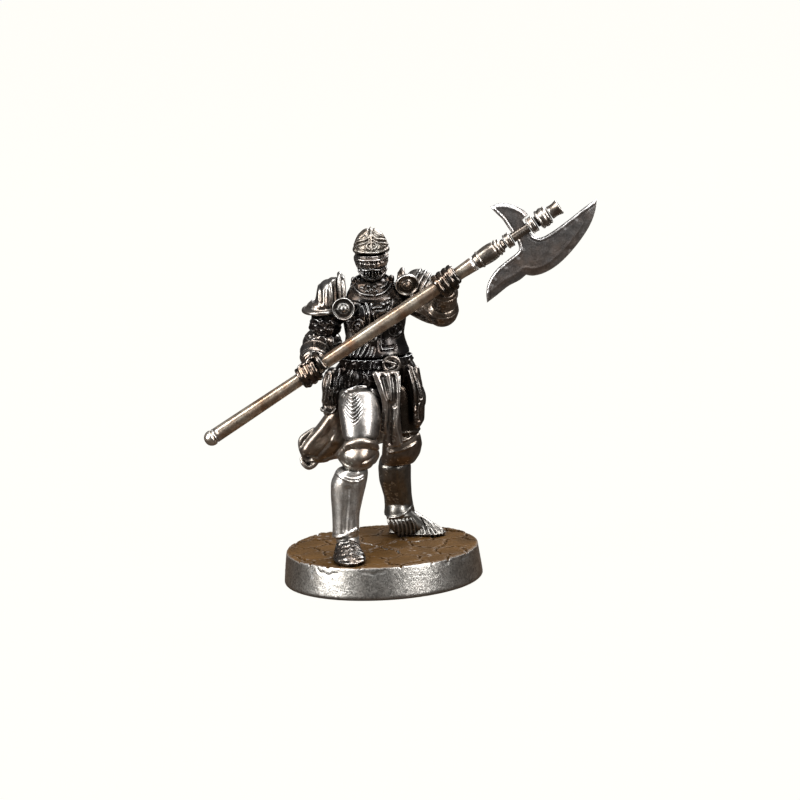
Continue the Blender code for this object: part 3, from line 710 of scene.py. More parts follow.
def make_breastplate():
    """Keeled breastplate with a raised chest, a stepped panel and scrolls."""
    plate = Casting("breastplate", puff=0.08)
    local = plate.local()
    chest = step(2.9 - 0.25 * local[:, 0] ** 2 - local[:, 2], 0.25) - step(2.1 - local[:, 2], 2)
    plate.push(0.14 * MM * chest * (local[:, 1] < 0))
    plate.line([(-1.45, 3.5), (-0.95, 2.84), (-0.62, 1.85), (-0.52, 0.8), (-0.42, -0.4), (-0.3, -1.6)], 0.2)
    plate.line([(-0.05, 1.4), (0.08, 0.8), (0.14, 0.1)], 0.12)
    plate.line([(0.84, -1.2), (0.78, -1.9), (0.75, -2.6), (0.75, -3.25)], 0.13)
    plate.line([(0.75, -3.28), (1.2, -3.3), (1.8, -3.28), (2.3, -3.22)], 0.13)
    plate.rib([(0.95, 2.85), (1.5, 2.95), (2.1, 3)], 0.28)
    plate.rib([(1.05, 2.35), (1.5, 2.4), (1.9, 2.5)], 0.26)
    plate.line([(2.15, 3.1), (2, 2.4), (1.85, 1.7)], 0.12)
    plate.line([(-0.15, 1.95), (0.5, 2.05), (1.1, 2)], 0.13)
    plate.line([(-1, -2.7), (-1.4, -3.4), (-1.9, -4.2)], 0.16)
    plate.line([(-0.3, -3), (-0.5, -3.6), (-0.8, -4.2)], 0.13)
    plate.line([(-2.2, -2.6), (-2.5, -3.3), (-2.8, -4)], 0.14)
    for side, x, z, wide, tall in ((-1, -1.98, -0.45, 0.72, 1.05), (1, 2.6, -0.85, 0.85, 0.95)):
        loop = []
        for number in range(10):
            angle = 2 * math.pi * number / 10
            loop.append((x + wide * math.cos(angle), z + tall * math.sin(angle)))
        plate.line(loop, 0.12, True)
        hook = [(-0.25, 0.15), (0, 0.5), (0.3, 0.2), (0, -0.2), (0, -0.6)]
        plate.line([(x + side * a, z + b) for a, b in hook], 0.12)
        plate.line([(side * 3.2, 1.8), (side * 3, 1), (side * 3.2, 0.2)], 0.1)
    plate.finish(DARK, "blackened_metal")


def make_backplate():
    """Backplate with a spine ridge, shoulder blades and a waist flange."""
    plate = Casting("backplate", puff=0.08)
    back = Vector((0, -1, 0))
    plate.line([(0, 3.6), (0, 1), (0, -1.5), (0, -3.8)], 0.15, facing=back)
    for side in (-1, 1):
        blade = [(side * x, z) for x, z in ((0.6, 3.2), (1.7, 2.6), (2.2, 1.2), (1.4, 0.2), (0.5, 0.5))]
        plate.line(blade, 0.13, facing=back)
        plate.line([(side * 0.5, -1), (side * 1.6, -1.6), (side * 2.6, -1.4)], 0.12, facing=back)
        plate.line([(side * 0.5, -2.2), (side * 1.7, -2.7), (side * 2.8, -2.5)], 0.12, facing=back)
    plate.hoop(-4, 0.14, 85, 275)
    plate.hoop(3.7, 0.12, 120, 240)
    plate.finish(DARK, "blackened_metal")


def make_fauld():
    """Skirt of cloth round the hips, wide over both thighs."""
    fauld = Casting("fauld", puff=0.02, coarse=0.34, smooth=12)
    x, z = fauld.anchor.x / MM, fauld.anchor.z / MM
    right_side = (
        (2.9, 0.2, 0.9, 0.9), (3.8, 0.2, 0, 1.25), (4.45, 0.2, -1.3, 1.4), (4.8, 0.3, -2.8, 1.25),
        (4.7, 0.4, -4.2, 0.9),
    )
    left_side = (
        (3.4, 0.1, 0.8, 0.9), (3.85, 0.1, -0.2, 1.1), (4.15, 0.1, -1.6, 1.1), (4.3, 0.2, -3, 0.9),
        (4.3, 0.2, -4.4, 0.7),
    )
    for side, knots in ((-1, right_side), (1, left_side)):
        for y in (-0.9, 0, 0.9):
            horn(fauld.extra, [(x + side * a, b + y, z + c, radius) for a, b, c, radius in knots])
    for knots in (
        ((-2.2, -1.4, 0.7, 0.9), (-2.8, -1.6, -0.4, 1.4), (-3.1, -1.7, -1.6, 1.35)),
        ((-0.6, -1.9, 0.8, 0.9), (-0.9, -2.3, -0.3, 1.2), (-1, -2.2, -1.4, 1)),
    ):
        horn(fauld.extra, [(x + a, y, z + c, radius) for a, y, c, radius in knots])
    fauld.fuse()
    fauld.relax(0.1 * MM, 25)
    fauld.line([(-2.3, 1.7), (-2.7, 1.1), (-3, 0.4), (-3.35, -0.4), (-3.6, -1.5)], 0.16)
    fauld.line([(-0.65, 1.7), (-0.95, 0.9), (-1.05, 0)], 0.14)
    fauld.line([(-1.7, 0.6), (-1.2, -0.4), (-0.5, -1), (0, -1.3)], 0.11)
    fauld.line([(-1, -0.1), (-0.6, -0.7), (-0.1, -1.1)], 0.09)
    fauld.line([(-4.6, 0.6), (-4.9, -0.6), (-5.2, -2)], 0.13)
    fauld.finish(DARK, "blackened_metal")


def make_belt():
    """Studded belt with the strap's end knotted under the buckle."""
    belt = Casting("belt", puff=0, coarse=0.2, smooth=5)
    for height in (0.5, -0.5):
        belt.hoop(height, 0.06)
    for angle in (-80, -62, -44, -26, 70, 88, 120, 150, 180, 210, 240, 265):
        spot = wrap(belt.tree, belt.anchor, 0, angle, angle, 1)
        if spot:
            ball(belt.extra, spot[0], 0.17 * MM)
    belt.rib([(0.1, -0.45), (0.7, -0.62), (1.6, -0.6), (2.3, -0.3)], 0.24)
    folds = (
        (-2.9, 0.5, -0.3), (-2.2, 0.5, -0.35), (-1.4, 0.45, -0.3), (-0.4, 0.5, -0.35), (-0.05, 0.35, -0.2),
    )
    for x, z, lean in folds:
        belt.rib([(x, z), (x + 0.5 * lean, 0), (x + lean, -0.55)], 0.2)
    belt.finish(DARK, "cast_cloth")


def make_buckle():
    """Round buckle with its tongue and the strap's loop."""
    centre = mid("belt_buckle")
    shape = bmesh.new()
    ring = []
    for number in range(37):
        angle = 2 * math.pi * number / 36
        ring.append(centre + mm(1.0 * math.cos(angle), 0.16 * abs(math.cos(angle)), 0.92 * math.sin(angle)))
    tube(shape, ring, 0.21 * MM, 10)
    tongue = [(-0.9, 0.45), (0.1, 0.2), (0.5, 0), (0.2, -0.4), (-0.4, -0.5)]
    strap = [(-1.1, 0.2), (-0.7, 0.55), (0, 0.7), (0.7, 0.5)]
    for path, depth, radius in ((tongue, -0.12, 0.15), (strap, 0, 0.13)):
        tube(shape, [centre + mm(x, depth, z) for x, z in curve_through(path)], radius * MM)
    piece = add_object("belt_buckle", from_bmesh("belt_buckle", shape))
    remesh(piece, FINE, 2)
    declare(piece, ARMOUR, "belt_buckle")


def make_besagew(side):
    """Round armpit guard: raised rim, sunk ring, domed boss."""
    node = side + "_besagew"
    centre = mid(node)
    reach = (high(node).x - low(node).x) / 2 / MM
    profile = (
        (0, -0.48), (0.16, -0.46), (0.34, -0.38), (0.46, -0.27), (0.52, -0.2), (0.58, -0.24),
        (0.66, -0.23), (0.72, -0.12), (0.8, -0.06), (1.1, -0.08), (1.2, -0.14), (1.25, -0.28),
        (1.32, -0.34), (1.39, -0.3), (1.42, -0.2), (1.4, 0.1), (1.2, 0.3), (0, 0.34),
    )
    if side == "left":
        turn = Matrix.Rotation(math.radians(24), 4, Vector((1, 0, 0.25)))
        size = reach / 1.36
    else:
        turn = Matrix.Rotation(math.radians(-8), 4, "Z")
        size = reach / 1.42
    spokes = 56
    shape = bmesh.new()
    rings = []
    for radius, depth in profile:
        if radius == 0:
            rings.append([shape.verts.new(mm(0, depth, 0))] * spokes)
            continue
        ring = []
        for number in range(spokes):
            angle = 2 * math.pi * number / spokes
            ring.append(shape.verts.new(mm(radius * math.cos(angle), depth, radius * math.sin(angle))))
        rings.append(ring)
    bridge(shape, rings, False)
    place = Matrix.Translation(centre) @ turn @ Matrix.Scale(size, 4)
    bmesh.ops.transform(shape, matrix=place, verts=shape.verts)
    declare(add_object(node, from_bmesh(node, shape)), DISC, node)


# Arms


def lofted(rings, sides=48):
    """Closed skin through rings given as centre, across vector and up vector in metres."""
    shape = bmesh.new()
    made = []
    for centre, across, along in rings:
        ring = []
        for number in range(sides):
            angle = 2 * math.pi * number / sides
            ring.append(shape.verts.new(centre + across * math.cos(angle) + along * math.sin(angle)))
        made.append(ring)
    bridge(shape, made)
    return shape


def make_right_pauldron():
    """Bell-shaped shoulder guard with upright lames and a flared, rolled edge."""
    centre = mid("right_pauldron")
    sections = (
        (1.3, 0, 2.2, 0.8, 1.1), (1.15, 0, 2, 1.15, 1.7), (1.05, 0, 1.5, 1.35, 2.1),
        (1, 0, 0.8, 1.45, 2.3), (0.9, 0, 0.2, 1.55, 2.4), (0.7, 0, -0.3, 1.75, 2.5),
        (0.45, 0, -0.75, 2.05, 2.65), (0.25, 0, -1.15, 2.3, 2.8), (0.2, 0, -1.5, 2.35, 2.85),
        (0.3, 0, -1.75, 2.15, 2.6),
    )
    rings = []
    for x, y, z, wide, deep in curve_through(sections, 4):
        rings.append((centre + mm(x, y, z + 0.05), mm(wide, 0, 0.32 * wide * (z > -0.2)), mm(0, deep, 0)))
    shape = lofted(rings)
    piece = add_object("right_pauldron", from_bmesh("right_pauldron", shape))
    remesh(piece, VOXEL, 6)
    local = (coordinates(piece) - np.array(centre)) / MM
    x, z = local[:, 0], local[:, 2]
    upper = step(z + 0.6, 1.4) * (1 - 0.75 * step(z - 1.4, 1))
    neck = bump(np.abs(z + 1.05), 0.4)
    heights = 0.2 * (bump(np.abs(x - 0.62), 0.42) + 0.7 * bump(np.abs(x - 1.5), 0.2)) * upper
    heights -= 0.24 * (bump(np.abs(x - 1.14), 0.16) + bump(np.abs(x - 1.95), 0.26)) * upper
    heights += 0.12 * bump(np.abs(x + 0.1), 0.16) * upper - 0.12 * bump(np.abs(x - 0.12), 0.12) * upper
    push(piece, (heights - 0.2 * neck) * MM)
    tree = surface(piece)
    wire = bmesh.new()
    wire.from_mesh(piece.data)

    def edge(angle):
        """The rim hangs lower in front."""
        return -1.42 - 0.16 * math.cos(math.radians(angle + 20))

    tube(wire, wrap(tree, centre + mm(0.25, 0, 0), edge, 0, 360, 64), 0.28 * MM)
    swap_mesh(piece, from_bmesh("right_pauldron", wire))
    remesh(piece, VOXEL, 1)
    declare(piece, ARMOUR, "right_pauldron")


def make_left_pauldron():
    """Rounded shoulder guard of lames that run down towards the arm."""
    pauldron = Casting("left_pauldron", puff=0.15)
    local = pauldron.local()
    axis = np.array((0.85, -0.1, -0.5))
    axis /= np.linalg.norm(axis)
    share = local @ axis
    heights = np.zeros(len(local))
    for place in (-1.2, -0.55, 0.1, 0.75, 1.4):
        heights += 0.16 * bump(np.abs(share - place), 0.2) - 0.14 * bump(np.abs(share - place - 0.26), 0.16)
    pauldron.push(heights * MM)
    pauldron.finish(DISC, "armour_metal")


def make_haute_piece(side):
    """Upright neck guard on the shoulder: a curved plate with two raised edges."""
    node = side + "_haute_piece"
    top = (high(node) - low(node)).z / MM / 2
    x, y, z = mid(node) / MM
    inward = 1 if side == "right" else -1
    limbs = [
        (
            (-0.05, -1.3, -top, 0.24), (-0.1, -1.2, 0.2, 0.26), (0, -0.5, top - 0.3, 0.3),
            (0, 0.5, top - 0.3, 0.3), (0, 1.6, 0, 0.28), (0, 1.6, -top, 0.24),
        ),
        (
            (0.55, -1.4, -top, 0.2), (0.5, -1.2, 0.1, 0.24), (0.4, -0.3, top - 0.7, 0.26),
            (0.4, 0.7, top - 0.8, 0.26), (0.5, 1.6, -0.4, 0.22),
        ),
    ]
    for share in (-0.8, -0.2, 0.4, 1):
        reach = top - 0.35 - 0.25 * abs(share)
        limbs.append(((0.2, share, -top, 0.42), (0.2, share, 0, 0.42), (0.15, share * 0.7, reach, 0.32)))
    shape = bmesh.new()
    for knots in limbs:
        horn(shape, [(x + inward * a, y + b, z + c, radius) for a, b, c, radius in knots])
    piece = add_object(node, from_bmesh(node, shape))
    remesh(piece, THIN, 4)
    declare(piece, ARMOUR if side == "right" else DISC, node)


def between(start, end):
    """Unit vector from one node's centre to another's."""
    return (mid(end) - mid(start)).normalized()


def make_sleeve(node, axis, rims, waves, stretch=None, about=(0.5, 0.5, 0.5)):
    """Start a sleeve of lames round an arm: rims are (mm along the axis, wire radius in mm)."""
    sleeve = Casting(node, stretch, about, 0.14)
    local = sleeve.local()
    share = local @ np.array(axis)
    sleeve.push(waves * MM * (np.sin(share * 5.5) + 0.5 * np.sin(local[:, 0] * 5 + local[:, 2] * 3)))
    for place, radius in rims:
        sleeve.band(place, radius, 40, axis, Vector((0, -1, 0.01)))
    return sleeve


def make_right_arm():
    """Upper arm, elbow and forearm of the arm that hangs down to the haft's lower grip."""
    down = between("right_rerebrace", "right_couter")
    rims = ((-0.9, 0.12), (-0.1, 0.13), (0.7, 0.13))
    sleeve = make_sleeve("right_rerebrace", down, rims, 0.06, (1.28, 1.1, 1), (0.1, 0.5, 0.5))
    for points in (
        [(-1.3, 0.5), (-1, 0.95), (-0.5, 0.7), (-0.8, 0.2), (-1.3, 0.2)],
        [(-0.1, 0.9), (0.5, 0.4), (0.2, -0.3), (-0.3, -0.5)],
        [(0.9, 0.8), (1.4, 0), (1.1, -0.8)],
    ):
        sleeve.rib(points, 0.14)
    sleeve.finish(DARK, "blackened_metal")

    couter = Casting("right_couter", (1.2, 1.1, 1), (0.05, 0.5, 0.5), 0.05)
    loop = [(-1.05 + 0.58 * math.cos(t), 1.3 + 0.5 * math.sin(t)) for t in np.linspace(0.3, 5.9, 9)]
    couter.rib(loop, 0.13)
    couter.rib([(0.1, 1.3), (0.7, 1.15), (1, 0.6), (0.7, 0.1), (0.2, 0.3)], 0.14)
    couter.rib([(1.3, 1.5), (1.8, 0.9), (1.7, 0.1)], 0.12)
    tube(couter.extra, wrap(couter.tree, couter.anchor, 0.2, 20, 120), 0.1 * MM)
    couter.band(-0.75, 0.1, 40)
    spot = couter.tree.ray_cast(couter.anchor + mm(-1.05, -10, 1.3), INWARD)[0]
    ball(couter.extra, spot, 0.22 * MM)
    couter.finish(ARM, "armour_metal")

    forward = between("right_couter", "right_gauntlet_cuff")
    rims = ((-0.7, 0.1), (0.9, 0.1))
    sleeve = make_sleeve("right_vambrace", forward, rims, 0.02, (1.22, 1, 1), (1, 0.5, 0.5))
    sleeve.rib([(-1.2, 0.9), (-0.5, 1.1), (0.2, 0.9), (0.7, 0.4)], 0.11)
    sleeve.finish(ARM, "blackened_metal")


def make_left_arm():
    """Upper arm, elbow and forearm of the arm raised to the haft's upper grip."""
    down = between("left_rerebrace", "left_couter")
    sleeve = make_sleeve("left_rerebrace", down, ((-0.6, 0.1), (0.3, 0.12)), 0.05, (1, 1, 1))
    knots = ((-2.2, 0.2, -0.5, 1.4), (-1, 0.1, -0.8, 1.75), (0.3, 0, -1.2, 1.95), (1.2, -0.3, -1.35, 1.95))
    sleeve.limb(*knots)
    sleeve.fuse()
    sleeve.rib([(-1.9, -1.2), (-1, -1.6), (-0.2, -2.2), (0.3, -2.8)], 0.1)
    sleeve.rib([(-0.9, -0.6), (-0.3, -1.2), (0.1, -2)], 0.11)
    sleeve.finish(WARM, "blackened_metal")

    couter = Casting("left_couter", puff=0.08)
    upper = [(-1.95, 0.3), (-1.4, -0.3), (-0.7, -0.72), (0.2, -0.85), (1.1, -0.72), (1.8, -0.3)]
    couter.rib(upper, 0.12)
    couter.rib([(x, z + 0.28) for x, z in upper], 0.05)
    couter.finish(WARM, "armour_metal")

    forward = between("left_couter", "left_gauntlet_hand")
    sleeve = make_sleeve("left_vambrace", forward, ((-0.3, 0.1), (0.9, 0.13)), 0.02, (1.1, 1, 1))
    sleeve.finish(WARM, "blackened_metal")


def make_cuff(side):
    """Flared gauntlet cuff with three raised bands."""
    node = side + "_gauntlet_cuff"
    stretch = (1.06, 1, 1) if side == "right" else None
    cuff = Casting(node, stretch, (0.8, 0.5, 0.5), 0.05, coarse=0.18, smooth=3)
    toward = between(node, side + "_gauntlet_hand")
    for place, radius in ((-0.75, 0.16), (-0.3, 0.1), (0.2, 0.12)):
        cuff.band(place, radius, 40, toward, Vector((0, 0, -1)))
    cuff.finish(ARM if side == "right" else WARM, "armour_metal")


HAFT_START = mid("haft_butt_cap")
HAFT_RUN = (mid("haft_tip") - HAFT_START).normalized()
HAFT_FRONT = Vector((0, -1, 0))
HAFT_OVER = HAFT_FRONT.cross(HAFT_RUN).normalized()
if HAFT_OVER.z < 0:
    HAFT_OVER = -HAFT_OVER


def round_haft(centre, along, radius, degrees):
    """Point on a circle round the haft: 0 degrees faces the front, 90 is above."""
    angle = math.radians(degrees)
    return centre + HAFT_RUN * along + (HAFT_FRONT * math.cos(angle) + HAFT_OVER * math.sin(angle)) * radius


def finger(shape, centre, along, radius, thick, start, end, lean=0):
    """One armoured finger wrapped round the haft, with a ridge at each lame."""
    path = []
    widths = []
    for number in range(31):
        share = number / 30
        degrees = start + (end - start) * share
        path.append(round_haft(centre, (along + lean * share) * MM, radius * MM, degrees))
        widths.append(thick * MM * (1 + 0.1 * math.cos(share * 4 * 2 * math.pi)))
    tube(shape, path, widths, 14)
    ball(shape, path[-1], widths[-1])


def make_fist(side):
    """Gauntlet closed round the haft."""
    node = side + "_gauntlet_hand"
    centre = mid(node)
    shape = bmesh.new()

    def pad(along_start, along_end, radius, degrees, thick):
        """Add a ridge of flesh along the haft."""
        steps = np.linspace(along_start, along_end, 8)
        path = [round_haft(centre, along * MM, radius * MM, degrees) for along in steps]
        tube(shape, path, thick * MM, 16)
        ball(shape, path[0], thick * MM)
        ball(shape, path[-1], thick * MM)

    if side == "left":
        for along, thick, end in ((-1.2, 0.4, -80), (-0.42, 0.42, -75), (0.36, 0.42, -55), (1, 0.4, -25)):
            finger(shape, centre, along, 1.22, thick, 140, end, 0.25)
        pad(-0.9, 0.7, 1.05, 165, 0.55)
        pad(-0.9, 0.3, 1.1, 215, 0.55)
        pad(-0.8, -0.3, 1.1, 255, 0.5)
        wrist = (0.9, 1.15)
    else:
        for along, thick, start in ((-1.15, 0.42, 120), (-0.35, 0.45, 110), (0.45, 0.42, 100)):
            finger(shape, centre, along, 1.15, thick, start, -105, -0.25)
        thumb = []
        widths = []
        for number in range(16):
            share = number / 15
            degrees = 120 - 130 * share
            thumb.append(round_haft(centre, (1.25 + 0.25 * share) * MM, (1.45 - 0.1 * share) * MM, degrees))
            widths.append((0.5 - 0.12 * number / 15) * MM)
        tube(shape, thumb, widths, 14)
        ball(shape, thumb[-1], 0.4 * MM, (1.2, 1, 1))
        pad(-1, 1.1, 1.1, 165, 0.5)
        pad(-0.9, 0.9, 1.2, 110, 0.42)
        pad(-1, 0.8, 1.05, 215, 0.5)
        edge = [round_haft(centre, -1.75 * MM, 1.2 * MM, degrees) for degrees in range(150, -120, -9)]
        tube(shape, edge, 0.2 * MM, 10)
        knuckle = []
        for t in np.linspace(0, 5, 14):
            degrees = 62 + 7 * math.sin(t * 2)
            knuckle.append(round_haft(centre, (-1.3 + 0.45 * t) * MM, (1.62 + 0.03 * t) * MM, degrees))
        tube(shape, knuckle, 0.16 * MM, 10)
        wrist = (0.8, 1.1)
    start = centre + between(node, side + "_gauntlet_cuff") * wrist[0] * MM
    end = mid(side + "_gauntlet_cuff")
    tube(shape, [start, (start + end) / 2, end], wrist[1] * MM, 20)
    piece = add_object(node, from_bmesh(node, shape))
    remesh(piece, THIN, 2)
    declare(piece, HAND, node)


# Legs and cloth


def make_right_leg():
    """The leg that is set forward: thigh with layer lines, crested knee, ridged greave."""
    cuisse = Casting("right_cuisse", (1.1, 1, 1), (1, 0.5, 0.5), 0.22, coarse=0.3, smooth=6)
    cuisse.limb((-0.1, 0.2, 0.4, 2.3), (0, 0.5, 1.6, 1.95))
    cuisse.fuse()
    rim = [
        (-2.5, 2.3), (-2, 2.9), (-1.3, 3.25), (-0.4, 3.4), (0.4, 3.4), (1.1, 3.15), (1.8, 2.6), (2.25, 1.9),
    ]
    cuisse.line(rim, 0.13)
    cuisse.fuse()
    local = cuisse.local()
    x, z = local[:, 0], local[:, 2]
    rows = np.cos((z - 0.9 * np.abs(x + 1.2) ** 1.5) * 2.2 * 2 * math.pi)
    patch = step(1.0 - np.hypot((x + 1.2) / 1.1, (z - 1) / 1.7), 0.4) * (local[:, 1] < 0)
    cuisse.push(0.1 * MM * patch * rows)
    cuisse.finish(CUISSE, "armour_metal")

    poleyn = Casting("right_poleyn", puff=0.12)
    local = poleyn.local()
    heights = 0.25 * bump(np.hypot(local[:, 0] - 0.1, (local[:, 2] + 0.25) / 0.85), 1.9) * (local[:, 1] < 0)
    poleyn.push(heights * MM)
    dent = poleyn.front([(0.4, -0.6), (1, -0.45), (1.6, -0.2), (2.1, 0.05)])
    poleyn.push(-0.25 * MM * bump(to_path(poleyn.points(), dent), 0.22 * MM))
    poleyn.limb((-1.9, -0.2, 0.6, 0.5), (-2.2, 0.5, 0, 0.7), (-1.9, 0.9, -0.9, 0.6))
    poleyn.limb((1.7, -0.3, 0.5, 0.5), (1.9, 0.4, -0.2, 0.6), (1.6, 0.6, -1, 0.5))
    poleyn.fuse()
    crest = [(-1.85, 0.6), (-1.6, 1.05), (-0.9, 1.4), (0, 1.55), (0.9, 1.5), (1.7, 1.2), (2.2, 0.7)]
    seat = poleyn.front(crest)
    for lift, thick in ((0, 0.3), (0.5, 0.26), (1, 0.24)):
        arch = [point + mm(0.05, 0.1 - 0.3 * lift, 0.4 * lift) for point in seat]
        last = len(arch) - 1
        widths = [MM * (thick + 0.24 * math.sin(math.pi * number / last)) for number in range(last + 1)]
        tube(poleyn.extra, arch, widths, 14)
    skirt = [(-2.3, -0.6), (-1.8, -1), (-1.1, -1.3), (-0.2, -1.45), (0.8, -1.4), (1.6, -1.15), (2.1, -0.7)]
    poleyn.rib(skirt, 0.12)
    poleyn.finish(KNEE, "armour_metal")

    greave = Casting("right_greave", puff=0.18, coarse=0.3, smooth=8)
    shin = greave.front([(1, 2.7), (0.85, 1), (0.6, -0.6), (0.5, -2.9)])
    edge = greave.front([(-0.2, 2), (-0.4, 0), (-0.7, -1.8), (-0.85, -3.2)])
    points = greave.points()
    heights = 0.28 * bump(to_path(points, shin), 0.5 * MM) - 0.2 * bump(to_path(points, edge), 0.5 * MM)
    greave.push(heights * MM)
    greave.limb((-1.9, -0.2, -3.9, 0.55), (-0.9, -1.3, -3.7, 0.5), (0.4, -1.2, -3.2, 0.4))
    greave.limb((-0.7, 0.2, -3.4, 1.5), (-0.6, -0.3, -4.6, 1.45), (-0.4, -0.6, -5.4, 1.4))
    greave.fuse()
    top = [(-1.9, 4.05), (-1.3, 3.75), (-0.6, 3.3), (0.2, 2.98), (1.1, 2.92), (1.9, 3.2)]
    greave.rib(top, 0.14)
    greave.rib([(x, z + 0.36) for x, z in top], 0.12)
    greave.rib([(-2.5, -4.15), (-1.7, -4.1), (-0.8, -3.85), (0, -3.45), (0.5, -3.3)], 0.18)
    ball(greave.extra, greave.front([(0.5, -3.25), (0.52, -3.28), (0.55, -3.3)])[0], 0.32 * MM)
    greave.rib([(0.5, -3.3), (0.8, -3.6), (0.95, -4)], 0.14)
    # Painted light: the forward greave takes the lighter copy of the leg metal
    greave.finish(LIT_LEG_PLATE, "armour_metal")


def make_left_leg():
    """The leg that is set back and turned out."""
    cuisse = Casting("left_cuisse", puff=0.2, coarse=0.3, smooth=6)
    cuisse.band(-2.8, 0.12)
    # Painted shade: the set-back thigh takes the shaded copy of the thigh metal
    cuisse.finish(THIGH_IN_SHADE, "armour_metal")

    poleyn = Casting("left_poleyn", puff=0.18)
    poleyn.limb((1.4, -0.9, 1.6, 0.6), (1.8, -0.6, 0.9, 0.75), (1.6, -0.4, 0.1, 0.7))
    poleyn.fuse()
    poleyn.relax(VOXEL, 8)
    rim = [(-1.6, 1), (-0.6, 1.2), (0.3, 1.4), (1.2, 1.7), (2, 2.15)]
    for rise in (0, -1.1):
        poleyn.rib([(x, z + rise) for x, z in rim], 0.16)
    poleyn.finish(WARM, "armour_metal")

    greave = Casting("left_greave", puff=0.18, coarse=0.3, smooth=8)
    shin = greave.front([(0.2, 3), (0.15, 1.2), (0.3, -0.8), (0.7, -2.6)])
    greave.push(0.12 * MM * bump(to_path(greave.points(), shin), 0.5 * MM))
    greave.limb((0.1, 0.5, -3, 1.6), (0.3, 0.6, -4.2, 1.75), (0.9, 0.9, -5.2, 1.6))
    greave.limb((0.5, 0.2, -3.6, 1.3), (1.6, 0.6, -4.6, 1.2), (2.8, 0.9, -5.5, 0.9))
    greave.limb((-0.4, 0.5, 3, 1.8), (0.1, -0.6, 4.2, 1.75))
    greave.fuse()
    greave.relax(VOXEL, 14)
    greave.rib([(-1.9, -3.35), (-1.2, -3.55), (-0.4, -3.5), (0.5, -3.2), (1.4, -2.75), (1.9, -2.35)], 0.16)
    for start in (-1.4, -0.9, -0.4, 0.1, 0.6, 1.1, 1.6):
        greave.line([(start, -3.9), (start + 0.25, -4.5), (start + 0.35, -5.2), (start + 0.35, -6)], 0.12)
    # Painted shade: the set-back greave takes the shaded copy of the leg metal
    greave.finish(DUSK, "armour_metal")


def make_sabaton(side):
    """Foot of overlapping lames, pointed at the toe."""
    node = side + "_sabaton"
    right = side == "right"
    foot = Casting(node, (1.16, 1, 1) if right else None, (0.5, 0.5, 0), 0.15)
    lower, upper = low(node), high(node)
    if right:
        heel = Vector((foot.anchor.x - 0.4 * MM, upper.y, lower.z))
        toe = Vector((foot.anchor.x + 0.35 * MM, lower.y, lower.z))
    else:
        knots = (
            (-0.6, 0.5, 0.4, 1.3), (0.9, -0.3, -0.25, 1.05), (2.3, -1, -0.7, 0.75), (3, -1.3, -0.95, 0.5),
        )
        foot.limb(*knots)
        foot.fuse()
        heel = Vector((lower.x, upper.y - 0.8 * MM, lower.z))
        toe = Vector((upper.x, lower.y + 0.3 * MM, lower.z))
    run = toe - heel
    reach = run.length
    run.normalize()
    local = foot.points() - np.array(heel)
    along = (local @ np.array(run)) / reach
    across = local - np.outer(local @ np.array(run), np.array(run))
    away = np.linalg.norm(across[:, :2], axis=1)
    wave = ((along + 0.05 * (away / MM) ** 2) * 8.5) % 1.0
    height = (0.17 if right else 0.05) * (wave - 0.5) * step(along - 0.3, 0.15)
    height += 0.14 * bump(away, 0.3 * MM) * step(0.9 - along, 0.2)
    foot.push(height * MM)
    if right:
        aside = run.cross(UP)
        for share, radius in ((0.28, 0.12), (0.42, 0.09), (0.56, 0.09), (0.7, 0.09), (0.83, 0.08)):
            path = []
            middle = heel + run * reach * share
            for degrees in range(-80, 81, 10):
                angle = math.radians(degrees)
                out = UP * math.cos(angle) + aside * math.sin(angle) - run * 0.25 * (1 - math.cos(angle))
                out.normalize()
                hit = foot.tree.ray_cast(middle + UP * 0.2 * MM + out * NEARBY * MM, -out)[0]
                if hit:
                    path.append(hit)
            tube(foot.extra, path, radius * MM)
    else:
        for shape in (
            ((0.1, 1), (0.6, 0.2), (0.9, -0.6), (0.95, -1.3)),
            ((0.7, 0.8), (1.2, 0.1), (1.5, -0.7), (1.6, -1.3)),
            ((1.3, 0.4), (1.8, -0.3), (2.1, -0.9), (2.2, -1.4)),
            ((1.9, 0), (2.4, -0.6), (2.7, -1.1), (2.8, -1.5)),
            ((-0.3, 1.3), (0.9, 0.85), (2, 0), (3.2, -1.2)),
        ):
            foot.line(shape, 0.13)
    foot.band(-0.95 if right else -1, 0.12)
    # The set-back foot takes the shaded copy of the leg metal: painted shade
    foot.finish(ARM if right else DUSK, "armour_metal")


def pleat(cloth, folds, width, sides=(INWARD,)):
    """Press hanging folds into a cloth: each fold is the curve of its crest and its height in mm."""
    total = np.zeros(len(cloth.points()))
    for curve, height in folds:
        for facing in sides:
            path = cloth.front(curve, facing=facing)
            if len(path) > 2:
                total += height * bump(to_path(cloth.points(), path), width)
    cloth.push(total * MM)


